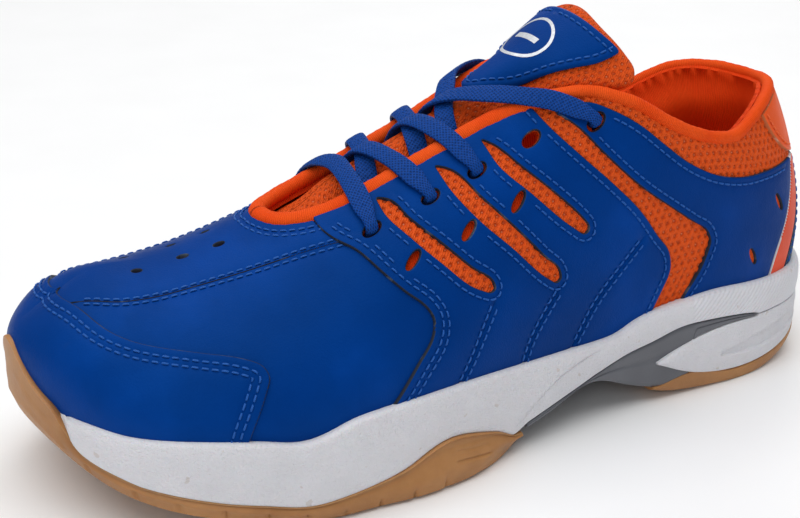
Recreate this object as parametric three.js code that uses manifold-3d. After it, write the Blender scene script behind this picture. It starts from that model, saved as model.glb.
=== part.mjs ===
// Court shoe, left foot, in millimetres: +X is the outer (lateral) side, the toe points to -Y, +Z is up.
// The upper is a family of ribs. Each rib is a cubic curve that climbs from the feather line, where
// the upper meets the sole, to the ridge over the middle of the foot. A place on the upper is (q, v):
// q runs from the heel (0) to the toe (1), v from the feather line (0) to the ridge (1). A signed q
// tells the sides apart: positive is lateral, negative is medial.
import * as THREE from "three";
import { mergeVertices } from "three/addons/utils/BufferGeometryUtils.js";
import Module from "manifold-3d";

const wasm = await Module();
wasm.setup();

// ---- driving dimensions ----
const HEEL_Y = 138.5; // Y of the back of the heel, where s = 0
const CENTRE_X = 1.2; // X of the shoe's centre plane at the heel, taken off every piece
// q, distance from the heel, sideways, height of the feather line
const FEATHER_LATERAL = [
  [0, 4, 0, 32], [0.07, 12, 21.5, 31.5], [0.14, 30, 31, 31.8], [0.26, 65, 33.5, 31.2],
  [0.38, 103, 35, 24.4], [0.5, 141, 41, 25.6], [0.6, 174, 46.8, 27], [0.7, 205, 48.5, 23.3],
  [0.79, 231, 43, 26.3], [0.87, 253, 30, 28.7], [0.94, 267, 13, 30.5], [1, 273, -8, 32],
];
const FEATHER_MEDIAL = [
  [0, 4, 0, 32], [0.07, 12, -21, 31.5], [0.14, 30, -29, 31.8], [0.26, 65, -29, 31.5],
  [0.38, 103, -27, 29], [0.5, 141, -32, 27], [0.6, 174, -41, 26], [0.7, 205, -46, 25],
  [0.79, 231, -46, 26.5], [0.87, 254.5, -40, 28.7], [0.94, 268, -27, 30.5], [1, 273, -8, 32],
];
// q, distance from the heel, sideways, height of the ridge
const RIDGE = [
  [0, 34, 0, 118], [0.07, 45, 0, 126], [0.14, 58, 0, 131], [0.26, 83, 0, 129],
  [0.38, 112, -0.5, 112], [0.5, 145, -1, 94], [0.6, 170, -2, 83.5], [0.7, 194, -3.5, 73],
  [0.79, 216, -5.5, 65.5], [0.87, 236, -7, 62.5], [0.94, 252, -8, 61], [1, 264, -8, 55],
];
// q, length of the rib's lower handle, its outward lean in degrees, upper handle sideways (lateral,
// medial), upper handle along the ridge
const RIB = [
  [0, 34, 10, 0, 0, -20], [0.07, 34, 9, 18, 18, -14], [0.14, 36, 7, 26, 26, -6],
  [0.26, 44, 5, 30, 30, 0], [0.38, 42, 5, 25, 25, 0], [0.5, 32, 7, 20, 20, 0],
  [0.6, 24, 10, 20, 16, 2], [0.7, 22, 14, 22, 15, 5], [0.79, 18, 18, 22, 15, 9],
  [0.87, 16, 20, 18, 14, 12], [0.94, 17, 18, 10, 9, 13], [1, 17, 15, 0, 0, 15],
];
// offsets from the upper's surface, outwards, of each layer's inner and outer face
const BASE_LAYER = [0, 1.4];
const OVERLAY = [1.75, 2.95];
const VAMP_LINING = [-2.9, -0.4];
const COUNTER = [-2.4, -0.4];
const PADDING = [-5.4, -0.4];
const QUARTER_LINING = [-7.4, -5.8];
const BINDING_RADIUS = 2.2;
const LACE_HALF_WIDTH = 2.6;
const LACE_HALF_THICK = 0.65;
const MM_PER_Q = 270;
const MM_PER_V = 90;
// distance from the heel, height: undersides and layer lines of the sole
const GROUND = [
  [-8, 15], [0, 10], [8, 6.5], [18, 3.2], [30, 0], [66, 0], [78, 3], [92, 9.4], [100, 12.4],
  [110, 14.2], [120, 11.6], [128, 8.2], [135, 4.6], [142, 1.2], [150, 0], [196, 0], [208, 1], [220, 3],
  [235, 6], [250, 9.6], [262, 14], [270, 19], [280, 27],
];
const MIDSOLE_UNDER = [
  [-8, 22.5], [20, 22.5], [37, 22.3], [60, 21], [80, 19.4], [98, 17.6], [113, 17.4], [128, 13.4],
  [137, 9.6], [144, 10.4], [151, 13], [159, 14.3], [166, 13.2], [175, 11], [186, 9], [197, 7.4],
  [206, 7.4], [230, 11.2], [248, 15], [261, 18.6], [267, 23], [272, 27], [280, 28],
];
const HEEL_TREAD_TOP = [[-8, 18], [0, 16], [10, 12.5], [21, 9.8], [40, 7.6], [60, 6.6], [80, 6.2]];
const SHANK_FROM = 37;
const SHANK_TO = 134;
const SHANK_THICK = 2.6;
const GAP = 0.35;
// the grid every sheet of the upper is cut from, so that stacked layers stay parallel
const GRID_Q = [
  0, 0.035, 0.07, 0.105, 0.14, 0.2, 0.26, 0.325, 0.38, 0.43, 0.48, 0.53, 0.58, 0.63, 0.68, 0.73, 0.78,
  0.83, 0.87, 0.905, 0.94, 0.97, 1,
];
const GRID_V = [0, 0.1, 0.2, 0.3, 0.4, 0.5, 0.6, 0.7, 0.8, 0.9, 1];

// ---- splines and the upper's surface ----
function naturalSpline(rows) {
  const n = rows.length - 1;
  const t = rows.map((r) => r[0]);
  const h = t.slice(1).map((x, i) => x - t[i]);
  const width = rows[0].length - 1;
  const curve = Array.from({ length: width }, (_, k) => {
    const y = rows.map((r) => r[k + 1]);
    const c = new Array(n + 1).fill(0);
    const d = new Array(n + 1).fill(0);
    for (let i = 1; i < n; i++) {
      const slope = (y[i + 1] - y[i]) / h[i] - (y[i] - y[i - 1]) / h[i - 1];
      const pivot = 2 * (h[i - 1] + h[i]) - h[i - 1] * c[i - 1];
      c[i] = h[i] / pivot;
      d[i] = (6 * slope - h[i - 1] * d[i - 1]) / pivot;
    }
    const m = new Array(n + 1).fill(0);
    for (let i = n - 1; i > 0; i--) m[i] = d[i] - c[i] * m[i + 1];
    return { y, m };
  });
  return (x) => {
    let i = 0;
    while (i < n - 1 && x > t[i + 1]) i++;
    const a = (t[i + 1] - x) / h[i];
    const b = 1 - a;
    const e = (h[i] * h[i]) / 6;
    return curve.map(
      ({ y, m }) => a * y[i] + b * y[i + 1] + ((a ** 3 - a) * m[i] + (b ** 3 - b) * m[i + 1]) * e,
    );
  };
}

// Rows of both sides as one closed loop in signed q, with the ends carried round past the toe.
function closedLoop(lateral, medial) {
  const flip = medial.slice(1, -1).map(([q, ...rest]) => [-q, ...rest]).reverse();
  const loop = [[-1, ...lateral.at(-1).slice(1)], ...flip, ...lateral];
  const before = loop.slice(-8, -1).map(([q, ...rest]) => [q - 2, ...rest]);
  const after = loop.slice(1, 8).map(([q, ...rest]) => [q + 2, ...rest]);
  return naturalSpline([...before, ...loop, ...after]);
}

function piecewise(rows) {
  return (x) => {
    let i = 0;
    while (i < rows.length - 2 && x > rows[i + 1][0]) i++;
    const f = (x - rows[i][0]) / (rows[i + 1][0] - rows[i][0]);
    return rows[i][1] + (rows[i + 1][1] - rows[i][1]) * Math.min(1, Math.max(0, f));
  };
}

const feather = closedLoop(FEATHER_LATERAL, FEATHER_MEDIAL);

function featherNormal(Q) {
  const a = feather(Q - 1e-4);
  const b = feather(Q + 1e-4);
  const n = [-(b[1] - a[1]), b[0] - a[0]];
  const size = Math.hypot(...n);
  return [n[0] / size, n[1] / size];
}

function controlRow(side, index) {
  const [q, rise, lean, lateralReach, medialReach, along] = RIB[index];
  const base = (side > 0 ? FEATHER_LATERAL : FEATHER_MEDIAL)[index].slice(1);
  const top = RIDGE[index].slice(1);
  const ends = { 0: [-1, 0], 1: [1, 0] };
  const n = ends[q] ?? featherNormal(side * q);
  const angle = THREE.MathUtils.degToRad(lean);
  const before = RIDGE[Math.max(0, index - 1)];
  const after = RIDGE[Math.min(RIDGE.length - 1, index + 1)];
  const run = new THREE.Vector3(after[1] - before[1], after[2] - before[2], after[3] - before[3]).normalize();
  const reach = side > 0 ? lateralReach : medialReach;
  const low = [
    base[0] + n[0] * Math.sin(angle) * rise,
    base[1] + n[1] * Math.sin(angle) * rise,
    base[2] + Math.cos(angle) * rise,
  ];
  const high = [top[0] + run.x * along, top[1] + run.y * along + side * reach, top[2] + run.z * along];
  return [q, ...base, ...low, ...high, ...top];
}

const ribs = closedLoop(RIB.map((_, i) => controlRow(1, i)), RIB.map((_, i) => controlRow(-1, i)));

function onSurface(Q, v) {
  const c = ribs(Q);
  const u = 1 - v;
  const w = [u * u * u, 3 * u * u * v, 3 * u * v * v, v * v * v];
  return [0, 1, 2].map((k) => w[0] * c[k] + w[1] * c[3 + k] + w[2] * c[6 + k] + w[3] * c[9 + k]);
}

function world([s, x, z]) {
  return new THREE.Vector3(x - CENTRE_X, HEEL_Y - s, z);
}

function sideNormal(Q, v) {
  const top = Math.min(v, 0.965);
  const e = 1e-3;
  const across = world(onSurface(Q + e, top)).sub(world(onSurface(Q - e, top)));
  const up = world(onSurface(Q, top + e)).sub(world(onSurface(Q, top - e)));
  return up.cross(across).normalize();
}

function normal(Q, v) {
  const n = sideNormal(Q, v);
  const share = 0.5 * THREE.MathUtils.smoothstep(v, 0.86, 1);
  return n.multiplyScalar(1 - share).addScaledVector(sideNormal(-Q, v), share).normalize();
}

function cell(lines, x) {
  let i = 0;
  while (i < lines.length - 2 && x > lines[i + 1]) i++;
  return [i, (x - lines[i]) / (lines[i + 1] - lines[i])];
}

const nodes = new Map();

function node(side, i, j) {
  const key = side * (i + 1) + ":" + j;
  if (!nodes.has(key)) {
    const [Q, v] = [side * GRID_Q[i], GRID_V[j]];
    nodes.set(key, { at: world(onSurface(Q, v)), out: normal(Q, v) });
  }
  return nodes.get(key);
}

// The point `offset` mm off the upper, on the flat facets between the grid's nodes.
function place(Q, v, offset) {
  const side = Q < 0 ? -1 : 1;
  const [i, a] = cell(GRID_Q, Math.abs(Q));
  const [j, b] = cell(GRID_V, v);
  const share = a > b
    ? [[i, j, 1 - a], [i + 1, j, a - b], [i + 1, j + 1, b]]
    : [[i, j, 1 - b], [i, j + 1, b - a], [i + 1, j + 1, a]];
  const point = new THREE.Vector3();
  for (const [k, l, weight] of share) {
    const { at, out } = node(side, k, l);
    point.addScaledVector(at, weight).addScaledVector(out, weight * offset);
  }
  return point;
}

// ---- charts: flat maps of (signed q, v) on which the panels are cut ----
const sideChart = {
  to: ([Q, v]) => [Q * MM_PER_Q, v * MM_PER_V],
  from: (x, y) => [x / MM_PER_Q, y / MM_PER_V],
};
const ridgeChart = {
  to: ([Q, v]) => [Math.abs(Q) * MM_PER_Q, Math.sign(Q) * (1 - v) * MM_PER_V],
  from: (x, y) => [(y < 0 ? -x : x) / MM_PER_Q, 1 - Math.abs(y) / MM_PER_V],
};
// The toe chart squares the complex number (a, b), so both sides share the ridge and the toe rib.
const toeChart = {
  to: ([Q, v]) => {
    const a = (1 - Math.abs(Q)) * MM_PER_Q * 0.1;
    const b = (1 - v) * MM_PER_V * 0.1;
    return [a * a - b * b, 2 * a * b * Math.sign(Q)];
  },
  from: (x, y) => {
    const r = Math.hypot(x, y);
    const a = Math.sqrt(Math.max(0, (r + x) / 2));
    const b = Math.sqrt(Math.max(0, (r - x) / 2));
    const q = 1 - (a * 10) / MM_PER_Q;
    return [y < 0 ? -q : q, 1 - (b * 10) / MM_PER_V];
  },
};

function steps(from, to, count) {
  return Array.from({ length: count + 1 }, (_, i) => from + ((to - from) * i) / count);
}

function solid(positions, triangles) {
  const g = new THREE.BufferGeometry();
  g.setAttribute("position", new THREE.Float32BufferAttribute(positions, 3));
  g.setIndex(triangles);
  return g;
}

function toManifold(geometry) {
  const g = geometry.clone();
  g.deleteAttribute("normal");
  g.deleteAttribute("uv");
  const m = mergeVertices(g, 1e-5);
  const vertProperties = new Float32Array(m.attributes.position.array);
  const triVerts = new Uint32Array(m.index.array);
  return new wasm.Manifold(new wasm.Mesh({ numProp: 3, vertProperties, triVerts }));
}

const SLAB_TOP = 20;

// A closed slab over the chart: its two faces are slightly uneven so that cutting keeps the grid.
function slab(chart, sides, qs, vs) {
  const key = new Map();
  const points = [];
  const faces = [];
  const corner = (Q, v) => {
    const [x, y] = chart.to([Q, v]);
    const id = x.toFixed(3) + "," + y.toFixed(3);
    if (!key.has(id)) {
      key.set(id, points.length);
      points.push([x, y]);
    }
    return key.get(id);
  };
  for (const side of sides)
    for (let i = 0; i < qs.length - 1; i++)
      for (let j = 0; j < vs.length - 1; j++) {
        const ring = [
          corner(side * qs[i], vs[j]), corner(side * qs[i + 1], vs[j]),
          corner(side * qs[i + 1], vs[j + 1]), corner(side * qs[i], vs[j + 1]),
        ];
        const unique = ring.filter((p, k) => p !== ring[(k + 1) % 4]);
        for (let k = 1; k < unique.length - 1; k++) faces.push([unique[0], unique[k], unique[k + 1]]);
      }
  const turned = faces.map(([a, b, c]) => {
    const [p, q, r] = [points[a], points[b], points[c]];
    const area = (q[0] - p[0]) * (r[1] - p[1]) - (r[0] - p[0]) * (q[1] - p[1]);
    return area > 0 ? [a, b, c] : [a, c, b];
  });
  const n = points.length;
  const bump = (i) => 0.3 + 0.25 * Math.sin(i * 2.4);
  const top = points.flatMap(([x, y], i) => [x, y, SLAB_TOP + bump(i)]);
  const bottom = points.flatMap(([x, y], i) => [x, y, -bump(i)]);
  const edges = new Map();
  for (const [a, b, c] of turned)
    for (const [p, q] of [[a, b], [b, c], [c, a]]) edges.set(p + "_" + q, [p, q]);
  const triangles = [];
  for (const [a, b, c] of turned) triangles.push(a, b, c, n + a, n + c, n + b);
  for (const [p, q] of edges.values())
    if (!edges.has(q + "_" + p)) triangles.push(q, p, n + p, q, n + p, n + q);
  return toManifold(solid([...top, ...bottom], triangles));
}

const OUTLINE_STEP = 14;

// The outline in the chart, split into short steps set slightly off line so that cutting keeps them.
function chartOutline(chart, outline) {
  return outline.flatMap((a, i) => {
    const b = outline[(i + 1) % outline.length];
    const span = Math.hypot((b[0] - a[0]) * MM_PER_Q, (b[1] - a[1]) * MM_PER_V);
    const crossing = Math.sign(a[0]) !== Math.sign(b[0]) && chart !== sideChart;
    const count = crossing ? 1 : Math.max(1, Math.ceil(span / OUTLINE_STEP));
    return steps(0, 1, count).slice(0, -1).map((f, k) => {
      const jog = k % 2 ? 0.0004 : 0;
      return chart.to([a[0] + (b[0] - a[0]) * f + jog, a[1] + (b[1] - a[1]) * f + jog]);
    });
  });
}

function prism(chart, outline) {
  const shape = new THREE.Shape(chartOutline(chart, outline).map(([x, y]) => new THREE.Vector2(x, y)));
  const g = new THREE.ExtrudeGeometry(shape, { depth: SLAB_TOP + 20, bevelEnabled: false });
  return toManifold(g.translate(0, 0, -10));
}

// A sheet between two offsets from the surface, inside `outline` (whole grid when null), less `holes`.
function sheet({ chart, sides = [1], from, to, low = 0, high = 1, outline = null, holes = [], layer, bulge = null }) {
  const qs = GRID_Q.filter((q, i) => (GRID_Q[i + 1] ?? 2) > from && (GRID_Q[i - 1] ?? -1) < to);
  const vs = GRID_V.filter((v, i) => (GRID_V[i + 1] ?? 2) > low && (GRID_V[i - 1] ?? -1) < high);
  let body = slab(chart, sides, qs, vs);
  if (outline) body = body.intersect(prism(chart, outline));
  for (const hole of holes) body = body.subtract(prism(chart, hole));
  const mesh = body.getMesh();
  const positions = [];
  for (let i = 0; i < mesh.numVert; i++) {
    const [x, y, w] = mesh.vertProperties.subarray(i * mesh.numProp, i * mesh.numProp + 3);
    const [Q, v] = chart.from(x, y);
    const lift = bulge ? bulge(Q, v) : 0;
    positions.push(...place(Q, v, lift + (w > SLAB_TOP / 2 ? layer[1] : layer[0])).toArray());
  }
  return outward(solid(positions, Array.from(mesh.triVerts)));
}

function outward(g) {
  const p = g.attributes.position;
  const t = g.index.array;
  const [a, b, c] = [new THREE.Vector3(), new THREE.Vector3(), new THREE.Vector3()];
  let volume = 0;
  for (let i = 0; i < t.length; i += 3) {
    a.fromBufferAttribute(p, t[i]);
    b.fromBufferAttribute(p, t[i + 1]);
    c.fromBufferAttribute(p, t[i + 2]);
    volume += a.dot(b.cross(c));
  }
  if (volume < 0) for (let i = 0; i < t.length; i += 3) [t[i + 1], t[i + 2]] = [t[i + 2], t[i + 1]];
  return g;
}

const mirrored = (points) => points.map(([q, v]) => [-q, v]);
const bySide = (side, points) => (side > 0 ? points : mirrored(points));
const shifted = (points, dq, dv) => points.map(([q, v]) => [q + dq, v + dv]);
const bothSides = (half) => [...half, ...mirrored(half).reverse()];

function oval(q, v, alongQ, alongV, count = 8, turn = 0) {
  return Array.from({ length: count }, (_, i) => {
    const a = (i / count) * 2 * Math.PI;
    const [x, y] = [Math.cos(a) * alongQ, Math.sin(a) * alongV];
    const [c, s] = [Math.cos(turn), Math.sin(turn)];
    return [q + (x * c - y * s) / MM_PER_Q, v + (x * s + y * c) / MM_PER_V];
  });
}

// ---- the opening: centre line of the rolled binding, from the throat's front to the heel ----
const OPENING = [
  [0.713, 1], [0.709, 0.94], [0.698, 0.87], [0.678, 0.815], [0.645, 0.787], [0.6, 0.782],
  [0.55, 0.782], [0.5, 0.78], [0.463, 0.775], [0.43, 0.757], [0.396, 0.727], [0.37, 0.695],
  [0.343, 0.652], [0.324, 0.608], [0.295, 0.537], [0.276, 0.484], [0.254, 0.44], [0.229, 0.41],
  [0.206, 0.398], [0.176, 0.403], [0.148, 0.437], [0.1, 0.503], [0.05, 0.565], [0, 0.6],
];

// The opening's half line moved `d` mm away from the opening.
function openingEdge(d) {
  return OPENING.map(([q, v], i) => {
    const [q0, v0] = OPENING[Math.max(0, i - 1)];
    const [q1, v1] = OPENING[Math.min(OPENING.length - 1, i + 1)];
    let [x, y] = [(q1 - q0) * MM_PER_Q, (v1 - v0) * MM_PER_V];
    if (i === 0) [x, y] = [0, -1];
    if (i === OPENING.length - 1) [x, y] = [-1, 0];
    const size = Math.hypot(x, y);
    return [q + (-y / size) * (d / MM_PER_Q), v + (x / size) * (d / MM_PER_V)];
  });
}

const EDGE_CLEAR = BINDING_RADIUS + 1;

// The opening as a hole in the side chart (one side only).
function sideOpening(side, d = EDGE_CLEAR) {
  const edge = openingEdge(d);
  return bySide(side, [...edge, [-0.05, edge.at(-1)[1]], [-0.05, 1.1], [0.8, 1.1]]);
}

function heelOpening(d = EDGE_CLEAR) {
  const edge = openingEdge(d);
  return [[0.8, 1.1], ...edge, ...mirrored(edge).reverse().slice(1), [-0.8, 1.1]];
}

function throatOpening(d = EDGE_CLEAR) {
  const half = openingEdge(d).slice(1);
  return bothSides([[openingEdge(d)[0][0], 0.9999], ...half.slice(0, 13), [0.3, 0.6], [0.3, 0.9999]]);
}

// ---- panel outlines on one side ----
const TOE_CAP_EDGE = [
  [0.772, -0.04], [0.765, 0.088], [0.756, 0.18], [0.748, 0.258], [0.743, 0.31], [0.748, 0.355],
  [0.763, 0.39], [0.8, 0.438], [0.834, 0.478], [0.86, 0.512], [0.888, 0.565], [0.916, 0.657],
  [0.941, 0.76], [0.956, 0.88], [0.962, 0.9999],
];
const VAMP_SEAM = [
  [0.9999, 0.69], [0.95, 0.72], [0.919, 0.718], [0.881, 0.71], [0.843, 0.715], [0.794, 0.726],
  [0.743, 0.718], [0.689, 0.693], [0.638, 0.65],
];
const MESH_FRONT = [
  [0.655, 0.84], [0.645, 0.74], [0.634, 0.69], [0.63, 0.64], [0.612, 0.58], [0.592, 0.5],
  [0.57, 0.4], [0.548, 0.3], [0.54, 0.25], [0.556, 0.16], [0.58, 0.06], [0.6, -0.05],
];
const SADDLE_FRONT = [
  [0.664, 0.84], [0.659, 0.73], [0.65, 0.672], [0.633, 0.6], [0.615, 0.49], [0.597, 0.393], [0.581, 0.323],
  [0.576, 0.275], [0.581, 0.225], [0.599, 0.163], [0.616, 0.098], [0.635, 0.015], [0.642, -0.04],
];
const SADDLE_REAR = [
  [0.329, -0.04], [0.302, 0.06], [0.289, 0.12], [0.291, 0.16], [0.304, 0.21], [0.32, 0.283],
  [0.349, 0.395], [0.375, 0.503], [0.396, 0.62], [0.412, 0.8],
];
const HEEL_PANEL_FRONT = [
  [0.291, -0.04], [0.269, 0.03], [0.25, 0.085], [0.236, 0.15], [0.241, 0.178], [0.26, 0.212],
  [0.283, 0.26], [0.316, 0.343], [0.352, 0.482], [0.371, 0.588], [0.388, 0.665],
];
const COLLAR_LINE = [
  [0.352, 0.632], [0.329, 0.57], [0.301, 0.485], [0.283, 0.425], [0.256, 0.355], [0.225, 0.313],
  [0.18, 0.298], [0.144, 0.308], [0.1, 0.328], [0.075, 0.338],
];
const SLOTS = [
  [
    [0.593, 0.728], [0.582, 0.7], [0.569, 0.6], [0.547, 0.48], [0.524, 0.37], [0.506, 0.305],
    [0.505, 0.285], [0.512, 0.28], [0.528, 0.316], [0.552, 0.417], [0.575, 0.54], [0.591, 0.657],
  ],
  [
    [0.521, 0.725], [0.51, 0.69], [0.49, 0.545], [0.469, 0.43], [0.443, 0.312], [0.427, 0.25],
    [0.427, 0.232], [0.434, 0.228], [0.448, 0.264], [0.475, 0.368], [0.5, 0.482], [0.517, 0.618],
  ],
  [
    [0.466, 0.722], [0.458, 0.685], [0.44, 0.572], [0.416, 0.46], [0.394, 0.37], [0.385, 0.33],
    [0.386, 0.316], [0.393, 0.315], [0.413, 0.376], [0.439, 0.486], [0.461, 0.608],
  ],
];
const EYELETS = [[0.61, 0.632], [0.54, 0.632], [0.484, 0.634], [0.42, 0.63], [0.35, 0.566]];
const PUNCHES = [[0.581, 0.475], [0.516, 0.478], [0.456, 0.485]];
const HEEL_SLOTS = [[0.125, 0.225], [0.173, 0.088]];
const VAMP_HOLES = [[0.86, 0.895], [0.809, 0.915], [0.768, 0.908]];
const STRIPE_FRONT = [[0.143, -0.04], [0.13, 0.08], [0.108, 0.18], [0.078, 0.338]];
const STRIPE_REAR = [[0.112, -0.04], [0.098, 0.08], [0.078, 0.18], [0.052, 0.338]];
const TAB_TOP = 0.6;

const eyeletHole = ([q, v]) => oval(q, v, 3.3, 1.8, 8, -0.15);

// ---- pieces of the upper ----
const parts = new Map();
const BOTH = [1, -1];
const COLOUR = {
  blue: 0x0a4fa0, deepBlue: 0x0a3a6e, orange: 0xe8641c, bright: 0xf27a2c, salmon: 0xe9694a,
  white: 0xeceaf0, gum: 0xc08a4a, grey: 0x8f9096, board: 0xd9d2c0, lace: 0x1f4fae,
};

function add(name, geometry, colour, roughness = 0.7) {
  const mesh = new THREE.Mesh(geometry, new THREE.MeshStandardMaterial({ color: colour, roughness }));
  mesh.name = name;
  parts.set(name, mesh);
}

function addToeCap() {
  const half = [...TOE_CAP_EDGE].reverse();
  const below = [[0.86, -0.08], [0.94, -0.08], [0.9999, -0.08]];
  const outline = bothSides([...half, ...below]);
  add("toe_cap", sheet({ chart: toeChart, sides: BOTH, from: 0.74, to: 1, outline, layer: OVERLAY }), COLOUR.blue);
}

function addVamp() {
  const rear = shifted(MESH_FRONT.slice(0, 4), 0.006, 0).reverse();
  const outline = bothSides([...VAMP_SEAM, ...rear.slice(1), [0.7, 0.9], [0.7, 0.9999]]);
  const holes = [throatOpening(), ...VAMP_HOLES.map(([q, v]) => oval(q, v, 1.6, 1.1, 6))];
  const shape = { chart: toeChart, sides: BOTH, from: 0.62, to: 1, low: 0.64, outline, holes };
  add("vamp", sheet({ ...shape, layer: BASE_LAYER }), COLOUR.blue);
}

function addSideVamp(side, label) {
  const seam = shifted(VAMP_SEAM, 0, -0.014).map(([q, v]) => [Math.min(q, 0.998), v]);
  const rear = shifted(MESH_FRONT.slice(3), 0.006, 0);
  const outline = bySide(side, [...seam, ...rear, [0.998, -0.05]]);
  const shape = { chart: sideChart, sides: [side], from: 0.53, to: 1, high: 0.72, outline };
  add("side_vamp_" + label, sheet({ ...shape, layer: BASE_LAYER }), COLOUR.blue);
}

function addQuarterMesh(side, label) {
  const outline = bySide(side, [[0.0015, -0.05], ...[...MESH_FRONT].reverse(), [0.64, 1.05], [0.0015, 1.05]]);
  const holes = [sideOpening(side), ...EYELETS.map(eyeletHole).map((h) => bySide(side, h))];
  const shape = { chart: sideChart, sides: [side], from: 0, to: 0.66, high: 0.85, outline, holes };
  add("quarter_mesh_" + label, sheet({ ...shape, layer: BASE_LAYER }), COLOUR.orange);
}

function addSaddle(side, label) {
  const outline = bySide(side, [...SADDLE_FRONT, ...SADDLE_REAR]);
  const holes = [
    openingEdge(EDGE_CLEAR).slice(1, 13).concat([[0.34, 1.1], [0.75, 1.1]]),
    ...SLOTS,
    ...EYELETS.slice(0, 4).map(eyeletHole),
    ...PUNCHES.map(([q, v]) => oval(q, v, 3.4, 1.4, 6, -0.6)),
  ].map((h) => bySide(side, h));
  const shape = { chart: sideChart, sides: [side], from: 0.285, to: 0.667, high: 0.82, outline, holes };
  add("saddle_" + label, sheet({ ...shape, layer: OVERLAY }), COLOUR.blue);
}

function addHeelPanel(side, label) {
  const rear = shifted(STRIPE_FRONT, 0.003, 0).reverse();
  const outline = bySide(side, [...HEEL_PANEL_FRONT, ...COLLAR_LINE.slice(0, -1), ...rear]);
  const holes = [
    openingEdge(EDGE_CLEAR).slice(8, 18).concat([[0.229, 1], [0.463, 1]]),
    eyeletHole(EYELETS[4]),
    ...HEEL_SLOTS.map(([q, v]) => oval(q, v, 2.6, 1.2, 6, 1)),
  ].map((h) => bySide(side, h));
  const shape = { chart: sideChart, sides: [side], from: 0.07, to: 0.4, high: 0.7, outline, holes };
  add("heel_panel_" + label, sheet({ ...shape, layer: OVERLAY }), COLOUR.blue);
}

function addHeelStripe(side, label) {
  const outline = bySide(side, [...STRIPE_FRONT, ...shifted(STRIPE_REAR, 0.002, 0).reverse()]);
  const shape = { chart: sideChart, sides: [side], from: 0.04, to: 0.15, high: 0.35, outline };
  add("heel_stripe_" + label, sheet({ ...shape, layer: OVERLAY }), COLOUR.salmon);
}

function addBackstay() {
  const outline = [...STRIPE_REAR, ...mirrored(STRIPE_REAR).reverse()];
  const shape = { chart: sideChart, sides: BOTH, from: 0, to: 0.12, high: 0.35, outline };
  add("backstay", sheet({ ...shape, layer: OVERLAY }), COLOUR.deepBlue);
}

function addHeelTab() {
  const half = [[0.07, 0.349], [0.095, 0.362], [0.118, 0.41], [0.128, 0.46], [0.1, 0.6], [0.03, 0.7]];
  const outline = [...half, ...mirrored(half).reverse()];
  const shape = { chart: sideChart, sides: BOTH, from: 0, to: 0.14, low: 0.33, high: 0.66, outline };
  add("heel_tab", sheet({ ...shape, holes: [heelOpening()], layer: OVERLAY }), COLOUR.bright);
}

const liningStart = (Q) => 0.03 + 0.025 * THREE.MathUtils.smoothstep(Math.abs(Q), 0.3, 0.8);

function addInnerLayers() {
  const low = liningStart(0);
  const heel = { chart: sideChart, sides: BOTH, from: 0 };
  const stiff = [[0.26, low], [0.25, 0.2], [0.2, 0.28], [0.1, 0.31], [0.03, 0.31]];
  const counter = { ...heel, to: 0.26, high: 0.32, outline: [...stiff, ...mirrored(stiff).reverse()] };
  add("heel_counter", sheet({ ...counter, layer: COUNTER }), COLOUR.board);
  const band = [[0.324, 0.34], [0.324, 0.9], [-0.324, 0.9], [-0.324, 0.34]];
  const pad = { ...heel, to: 0.324, low: 0.34, high: 0.7, outline: band, holes: [heelOpening()] };
  add("collar_padding", sheet({ ...pad, layer: PADDING }), COLOUR.orange);
  const whole = [[0.324, low], [0.324, 0.9], [-0.324, 0.9], [-0.324, low]];
  const lining = { ...heel, to: 0.324, high: 0.7, outline: whole, holes: [heelOpening()] };
  add("quarter_lining", sheet({ ...lining, layer: QUARTER_LINING }), COLOUR.bright);
}

function addVampLining() {
  const half = [[0.334, 0.9999], [0.334, 0.04], [0.5, 0.045], [0.7, 0.05], [0.9, 0.055], [0.9999, 0.055]];
  const holes = [throatOpening(), ...EYELETS.map(eyeletHole), ...EYELETS.map(eyeletHole).map(mirrored)];
  const shape = { chart: toeChart, sides: BOTH, from: 0.334, to: 1, outline: bothSides(half), holes };
  add("vamp_lining", sheet({ ...shape, layer: VAMP_LINING }), COLOUR.white);
}

// ---- tongue ----
const ramp = THREE.MathUtils.smoothstep;

// The tongue's edges dip under the eyestays and its front dips under the vamp.
function tongueDip(Q, v) {
  const q = Math.abs(Q);
  const side = ramp(1 - v, 0.03, 0.19);
  return -5.2 * side * ramp(q, 0.34, 0.42) - 2.9 * ramp(q, 0.6, 0.665) * (1 - side);
}

function addTongue() {
  const body = [[0.455, 0.9999], [0.455, 0.64], [0.5, 0.6], [0.6, 0.64], [0.68, 0.7], [0.745, 0.8], [0.75, 0.9999]];
  const shape = { chart: ridgeChart, sides: BOTH, from: 0.455, to: 0.75, low: 0.6, outline: bothSides(body) };
  add("tongue_body", sheet({ ...shape, layer: [-3.7, -0.5], bulge: tongueDip }), COLOUR.orange);
  const top = [
    [0.446, 0.9999], [0.446, 0.842], [0.42, 0.81], [0.38, 0.775], [0.345, 0.72], [0.315, 0.7],
    [0.292, 0.73], [0.279, 0.82], [0.276, 0.9999],
  ];
  const upper = { chart: ridgeChart, sides: BOTH, from: 0.276, to: 0.446, low: 0.7, bulge: tongueDip };
  add("tongue_top", sheet({ ...upper, outline: bothSides(top), layer: [-6.6, -1] }), COLOUR.orange);
  const pad = [
    [0.422, 0.9999], [0.416, 0.94], [0.4, 0.885], [0.37, 0.83], [0.338, 0.785], [0.312, 0.775],
    [0.294, 0.81], [0.286, 0.88], [0.284, 0.9999],
  ];
  add("tongue_label", sheet({ ...upper, outline: bothSides(pad), layer: [-0.25, 1.1] }), COLOUR.blue);
}

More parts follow.
